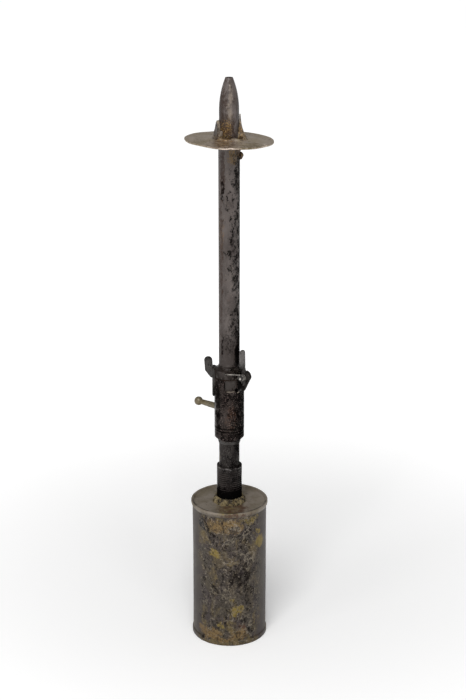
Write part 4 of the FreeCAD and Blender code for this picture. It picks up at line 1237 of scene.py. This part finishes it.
@dataclass
class Holdfasts(SubAssembly):
    """The keeper at the left and the spring catch at the right.

    pin is the reach and height of the catch's pin, collar_edge the radius to which hook and nose reach
    in, and hook the height of the hook's underside. The spring has a coil radius, a lead for each of
    its turns and a wire radius.
    """

    pin: tuple[float, float] = (PLAN.pin_reach, PLAN.pin_level)
    keeper_azimuth: float = 180.0
    catch_azimuth: float = 315.0
    sleeve: float = PLAN.sleeve_wall
    collar_edge: float = 11.6
    hook: float = 243.8
    coil: float = 2.3
    lead: float = 1.2
    turns: float = 2.5
    wire: float = 0.35

    def build(self) -> None:
        """Make the keeper, the catch lever and its spring."""
        self.keeper()
        self.catch_lever()
        self.spring()
        self.dress(Finish.CATCH, "catch_bracket")
        self.dress(Finish.PIN, "catch_pin")

    def keeper(self) -> None:
        """Keeper: a strip up the sleeve with a hook over the collar, and a rounded thumb tab.

        The strip's section (r, z) is repeated at angles about the axis, so that it hugs the sleeve.
        """
        foot, top = PLAN.sleeve_top - 16.1, self.hook + 1.1
        inner, outer, edge = self.sleeve + 0.04, self.sleeve + 1.85, self.collar_edge
        section = [(inner, foot, 0.4), (outer, foot, 0.7), (outer, top, 0.7), (edge, top, 0.4),
                   (edge, self.hook, 0.2), (inner, self.hook, 0.1)]
        radius, up = densify(arc_corners(section, 6), 1.5).T
        half = math.asin(3.5 / self.sleeve)
        angle = math.radians(self.keeper_azimuth) + np.linspace(-half, half, 15)[:, None]
        rings = np.stack([radius * np.cos(angle), radius * np.sin(angle), up + 0 * angle], axis=-1)
        piece = stacked_rings("keeper_leg", rings)
        self.add(piece, STAND, Finish.CATCH, "catch_steel", "keeper_strip")
        low, high = PLAN.sleeve_top, PLAN.sleeve_top + 18.6
        corners = [(13.0, low, 0.8), (15.4, low, 1.2), (20.2, low + 6.4, 2.2), (21.1, high, 3.2),
                   (14.3, high, 3.2)]
        axes = facing(self.keeper_azimuth)[[0, 2, 1]]
        piece = plate_surface("keeper_thumb_tab", arc_corners(corners, 12), 1.4, 3.6, 0.8, axes)
        self.add(piece, STAND, Finish.CATCH, "catch_steel")

    def catch_lever(self) -> None:
        """Catch lever: a knuckle with nose and tail on the pin, and the finger paddle above it.

        Both outlines are drawn from the pin: the knuckle's along the radius and up, the paddle's
        along the pin and up.
        """
        reach, level = self.pin
        nose = self.collar_edge - reach
        core = [
            (-1.8, -7.5, 0.5), (-0.2, -7.5, 0.5), (0.4, -2.9, 0.3), (2.9, -2.0, 1.6), (2.9, 2.2, 1.6),
            (-0.5, 5.6, 1.2), (-1.1, 8.6, 0.2), (-3.1, 8.6, 0.2), (-3.1, 6.6, 0.2), (nose, 6.6, 0.5),
            (nose, 4.35, 0.3), (-2.9, 4.35, 0.3), (-2.9, -1.0, 1.0), (-1.8, -3.0, 0.4),
        ]
        outline = densify(arc_corners(core, 7), 0.8)[::-1] + self.pin
        axes = facing(self.catch_azimuth)
        piece = plate_surface("catch_knuckle", outline, 0.1, 2.25, 0.3, axes[[0, 2, 1]])
        self.add(piece, CATCH, Finish.CATCH, "catch_steel", "catch_lever")
        foot, top, half = level + 6.6, level + 23.2, 3.35
        narrow = 0.86 * half
        shape = [(-half, foot, 2.6), (half, foot, 2.6), (narrow, top, 2.7), (-narrow, top, 2.7)]
        paddle = densify(arc_corners(shape, 12), 1.5)
        piece = plate_surface("catch_paddle", paddle, reach - 3.1, reach - 1.1, 0.8, axes[[1, 2, 0]])
        self.add(piece, CATCH, Finish.CATCH, "catch_steel")

    def spring_path(self) -> Array:
        """Middle line of the spring: hooked end, long leg, bridge, coil, and the leg behind the tail.

        Returns:
            Points (n, 3): outward, along the pin and up.
        """
        reach, level = self.pin
        near = -(self.lead * self.turns + self.wire + 0.04)
        far = near + self.lead * self.turns
        ring, low, sweep = self.sleeve + self.wire + 0.15, self.hook - 2.0, math.radians(64)
        hooked = np.linspace(ring - 2.2, ring - 0.5, 4)
        hook = np.column_stack([hooked * math.cos(sweep), -hooked * math.sin(sweep), np.full(4, low)])
        bend = np.linspace(-sweep + 0.06, -sweep * 0.62, 22)
        leg = np.column_stack([ring * np.cos(bend), ring * np.sin(bend), np.full(22, low)])
        start = np.array([reach - 1.0, near, level + self.coil])
        part = np.linspace(0, 1, 14)[1:-1]
        ease = part * part * (3 - 2 * part)
        bridge = leg[-1] + (start - leg[-1]) * np.column_stack([part, part, ease])
        turned = np.linspace(0, TURN * self.turns, 121)[1:]
        coil = np.column_stack([reach + self.coil * np.sin(turned), near + self.lead * turned / TURN,
                                level + self.coil * np.cos(turned)])
        behind, under = reach - 2.3, level - self.coil
        tail = [
            (behind + 1.1, far, under - 0.1), (behind + 0.3, far, under - 0.6),
            (behind, far, under - 1.4), (behind, far, under - 2.3), (behind, far, under - 3.3),
            (behind, far + 0.4, under - 3.9), (behind, far + 1.0, under - 4.0),
            (behind, far + 2.0, under - 4.0),
        ]
        return np.vstack([hook, leg, bridge, start, coil, tail])

    def spring(self) -> None:
        """Spring: one wire along its smoothed path, in place of the catch's spring node."""
        axes = facing(self.catch_azimuth)
        path = densify(self.spring_path() @ axes, 0.25, False)
        for _ in range(3):
            path[1:-1] = (path[:-2] + 2 * path[1:-1] + path[2:]) / 4
        piece = swept_tube("catch_spring_wire", path, self.wire)
        self.wardrobe.wear(piece, Finish.WIRE)
        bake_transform(piece)
        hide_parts("catch_spring")
        self.pieces.append(piece)


@dataclass(frozen=True)
class Lump:
    """A run of brazing metal: a ball drawn out to three half sizes and roughened by waves.

    turn is its azimuth in degrees; up, reach and the half sizes outward, sideways and up are
    millimetres.
    """

    name: str
    turn: float
    up: float
    size: tuple[float, float, float]
    reach: float
    seed: int

    def place(self, ball: Array) -> Array:
        """Roughen a ball of radius 1, draw it out and put it into the frame.

        Args:
            ball: points (n, 3) of the ball.

        Returns:
            Points of the lump.
        """
        theta = np.arctan2(ball[:, 1], ball[:, 0])
        rough = 1 + 0.13 * ripple(theta, ball[:, 2], self.seed, waves=9, scale=900)
        return (ball * rough[:, None] * self.size + (self.reach, 0, self.up)) @ facing(self.turn)


@dataclass
class BurnerHead(SubAssembly):
    """The long tube, the drip disc with its torn neck, and the tip.

    seat is the height of the disc's rim, dome the rise from there to the neck's foot, and neck and hug
    are the neck's least outer radius and its inner one.
    """

    tilt: float = math.radians(2.0)
    seat: float = PLAN.disc_seat
    neck: float = 8.55
    dome: float = 2.7
    hug: float = 8.05
    columns: int = 288
    lump_columns: int = 44
    lumps: tuple[Lump, ...] = (
        Lump("braze_front", 262, 439.4, (0.8, 3.0, 2.2), 8.0, 31),
        Lump("braze_left", 236, 438.6, (1.9, 3.4, 1.4), 10.6, 32),
        Lump("braze_right", 330, 438.2, (1.9, 3.2, 1.2), 10.8, 33),
        Lump("braze_under", 335, 428.5, (0.9, 2.8, 5.0), 8.4, 34),
        Lump("braze_screw", 350, 423.0, (2.3, 2.7, 2.9), 9.0, 35),
    )

    def build(self) -> None:
        """Make the disc and the brazing, and dress the tube and tip."""
        self.disc()
        self.brazing()
        self.dress(Finish.TUBE, "burner_tube", "tip_screw")
        self.dress(Finish.COLLAR, "tube_collar")
        self.dress(Finish.TIP, "burner_tip")

    def lean(self, points: Array) -> Array:
        """Tip the disc to the right about its middle and set it on the tube; its neck stays plumb.

        Args:
            points: points (n, 3) of an upright disc whose rim lies at height 0.

        Returns:
            Points in the frame.
        """
        turn, rise = math.cos(self.tilt), math.sin(self.tilt)
        across, deep, up = points.T
        plumb = np.minimum(up, 3)
        over = up * turn - across * rise + self.seat
        return np.column_stack([across * turn + plumb * rise, deep, over])

    def torn_edge(self, angle: Array) -> Array:
        """Height of the neck's torn edge: the highest of five tongues and a low flare.

        Args:
            angle: directions round the axis.

        Returns:
            Heights over the dome, with a gap at the front.
        """
        peaks = np.maximum(0.9, 6.0 * grade(apart(angle, 281), 46, 52))
        for index in range(5):
            aside = apart(angle, 193 - 48.5 * index)
            shape = grade(aside, 28, 0) ** 0.8 if index else grade((aside / 20) ** 2, 1, 0) ** 0.6
            peaks = np.maximum(peaks, (14.0 + 1.4 * index) * shape)
        return peaks + 0.35 * ripple(angle, np.zeros_like(angle), seed=21, waves=9, scale=1)

    def disc(self) -> None:
        """Disc: a shallow dome that sweeps up into a torn neck round the tip.

        The upper side runs from the beaded rim to the neck, whose radius falls off with height as an
        exponential. The inside hugs the tip, and the lower side follows one gauge below.
        """
        angle = np.linspace(0, TURN, self.columns, endpoint=False)
        peaks = self.torn_edge(angle)
        pillar = np.exp(-(apart(angle, 193) / 24) ** 2)
        reach, spread = 7.2 + 22.0 * pillar, 6.6 - 3.9 * pillar
        bead = [(35.8, 0.6), (35.7, 1.3), (35.3, 1.6), (34.8, 1.5), (34.2, 1.25), (24, 1.9), (15.6, 2.6)]
        under = [(10, 1.8), (15, 1.4), (24, 0.7), (34.8, 0.1), (35.5, 0.2)]
        upper = densify(np.array(bead), 1.2, False)[:, :, None]
        lower = densify(np.array(under), 1.5, False)[:, :, None]
        rise = peaks * np.linspace(0, 1, 46)[1:, None]
        neck = self.neck + spread * np.exp(-rise / reach)
        lip, lip_rise = np.array([(0.75, 0.2), (0.4, 0.25), (0.0, 0.1)]).T[:, :, None]
        inside = np.array([0.97, 0.6, 0.3, 0.0])[:, None]
        level = np.zeros(self.columns)
        radius = np.vstack([upper[:, 0] + level, neck, 8.2 + (neck[-1] - 8.2) * lip,
                            self.hug + 0 * inside + level, lower[:, 0] + level])
        up = np.vstack([upper[:, 1] + level, self.dome + rise, self.dome + peaks + lip_rise,
                        1.9 + (peaks + 0.8) * inside, lower[:, 1] + level])
        wobble = ripple(angle, radius, seed=22, waves=6, scale=14)
        up += 0.22 * wobble * grade(radius, 12, 36)
        piece = Turned(angle, radius, up).make("disc_torn_neck", 55, self.lean)
        self.add(piece, STAND, Finish.DISC, "disc_plate", "drip_disc")

    def brazing(self) -> None:
        """Brazing: rough runs of spelter on the neck and a heap under the disc."""
        polar = np.linspace(0, math.pi, 30)
        profile = np.column_stack([np.sin(polar), -np.cos(polar)])
        for lump in self.lumps:
            piece = Turned.profile(profile, self.lump_columns, True).make(lump.name, 180, lump.place)
            self.add(piece, STAND, Finish.BRAZE, "solder")


@dataclass
class Studio:
    """Pale floor, soft light and the camera at the photograph's angle.

    focal and image_height are pixels of the photograph, and lengths are metres. middle is the height
    that the lamps look at.
    """

    focal: float = 1570.0
    image_height: float = 700.0
    distance: float = 1.236
    eye: float = 0.675
    pitch: float = math.radians(18.6)
    aside: float = 0.0031
    floor_half: float = 20.0
    middle: float = 0.25
    surroundings: float = 0.30

    def build(self) -> None:
        """Set up floor, world, lamps and camera."""
        self.floor()
        self.light()
        self.camera()

    def floor(self) -> None:
        """One large pale quad under the burner that glows as painted light, a little brighter far off like
        a lit backdrop.
        """
        corners = np.array([(-1, -1, 0), (1, -1, 0), (1, 1, 0), (-1, 1, 0)]) * self.floor_half / MM
        plane = make_object("studio_floor", corners, [[0, 1, 2, 3]])
        graph = Graph("studio_white")
        colour = graph.mix(graph.noise(3, 2), (0.93, 0.93, 0.93, 1), (0.95, 0.95, 0.95, 1))
        rough = graph.band(graph.noise(4, 2), -2.0, 1.2)
        plane.data.materials.append(graph.finish(colour, rough, graph.noise(5, 2), 0.0, 0.0, 0.1))
        far = graph.band(graph.length(graph.place), 0.05, 0.9)
        glow = graph.math("MULTIPLY_ADD", far, 0.62, 0.10)
        graph.feed(graph.shader, {"Emission Color": (1.0, 1.0, 1.0, 1.0), "Emission Strength": glow})

    def light(self) -> None:
        """White surroundings, a broad key from high in front, a weak fill and a strip at the left."""
        world = bpy.data.worlds.new("studio_world")
        world.use_nodes = True
        ground = world.node_tree.nodes["Background"]
        ground.inputs["Color"].default_value = (1.0, 1.0, 1.0, 1.0)
        ground.inputs["Strength"].default_value = self.surroundings
        bpy.context.scene.world = world
        for name, spot, size, power in (
            ("key", (-0.2, -1.25, 1.6), 0.95, 28.0),
            ("fill", (0.7, -1.5, 0.9), 0.5, 3.0),
            ("strip", (-1.0, -0.85, 0.45), 0.35, 2.0),
        ):
            lamp = bpy.data.lights.new(name, "AREA")
            lamp.size = size
            lamp.energy = power
            thing = bpy.data.objects.new(name, lamp)
            thing.location = spot
            across, deep, up = np.array([0, 0, self.middle]) - spot
            pitch = math.atan2(up, math.hypot(across, deep))
            thing.rotation_euler = (math.pi / 2 + pitch, 0, math.atan2(-across, deep))
            bpy.context.scene.collection.objects.link(thing)

    def camera(self) -> None:
        """A pinhole whose focal length and place follow from the ellipses in the photograph."""
        lens = bpy.data.cameras.new("photo_camera")
        lens.sensor_fit = "VERTICAL"
        lens.sensor_height = 24.0
        lens.lens = self.focal * lens.sensor_height / self.image_height
        thing = bpy.data.objects.new("photo_camera", lens)
        thing.location = (self.aside, -self.distance, self.eye)
        thing.rotation_euler = (math.pi / 2 - self.pitch, 0, 0)
        bpy.context.scene.collection.objects.link(thing)
        bpy.context.scene.camera = thing
        bpy.context.scene.view_settings.view_transform = "Standard"


def main() -> None:
    """Load the frame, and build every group."""
    logging.basicConfig(level=logging.INFO, format="%(name)s: %(message)s")
    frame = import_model()
    wardrobe = Wardrobe()
    for group in (FuelCan, StemGroup, AirSleeve, Holdfasts, BurnerHead):
        assembly = group(wardrobe, frame["nodes"])
        assembly.build()
        assembly.report()
    Studio().build()


if __name__ == "__main__":
    main()
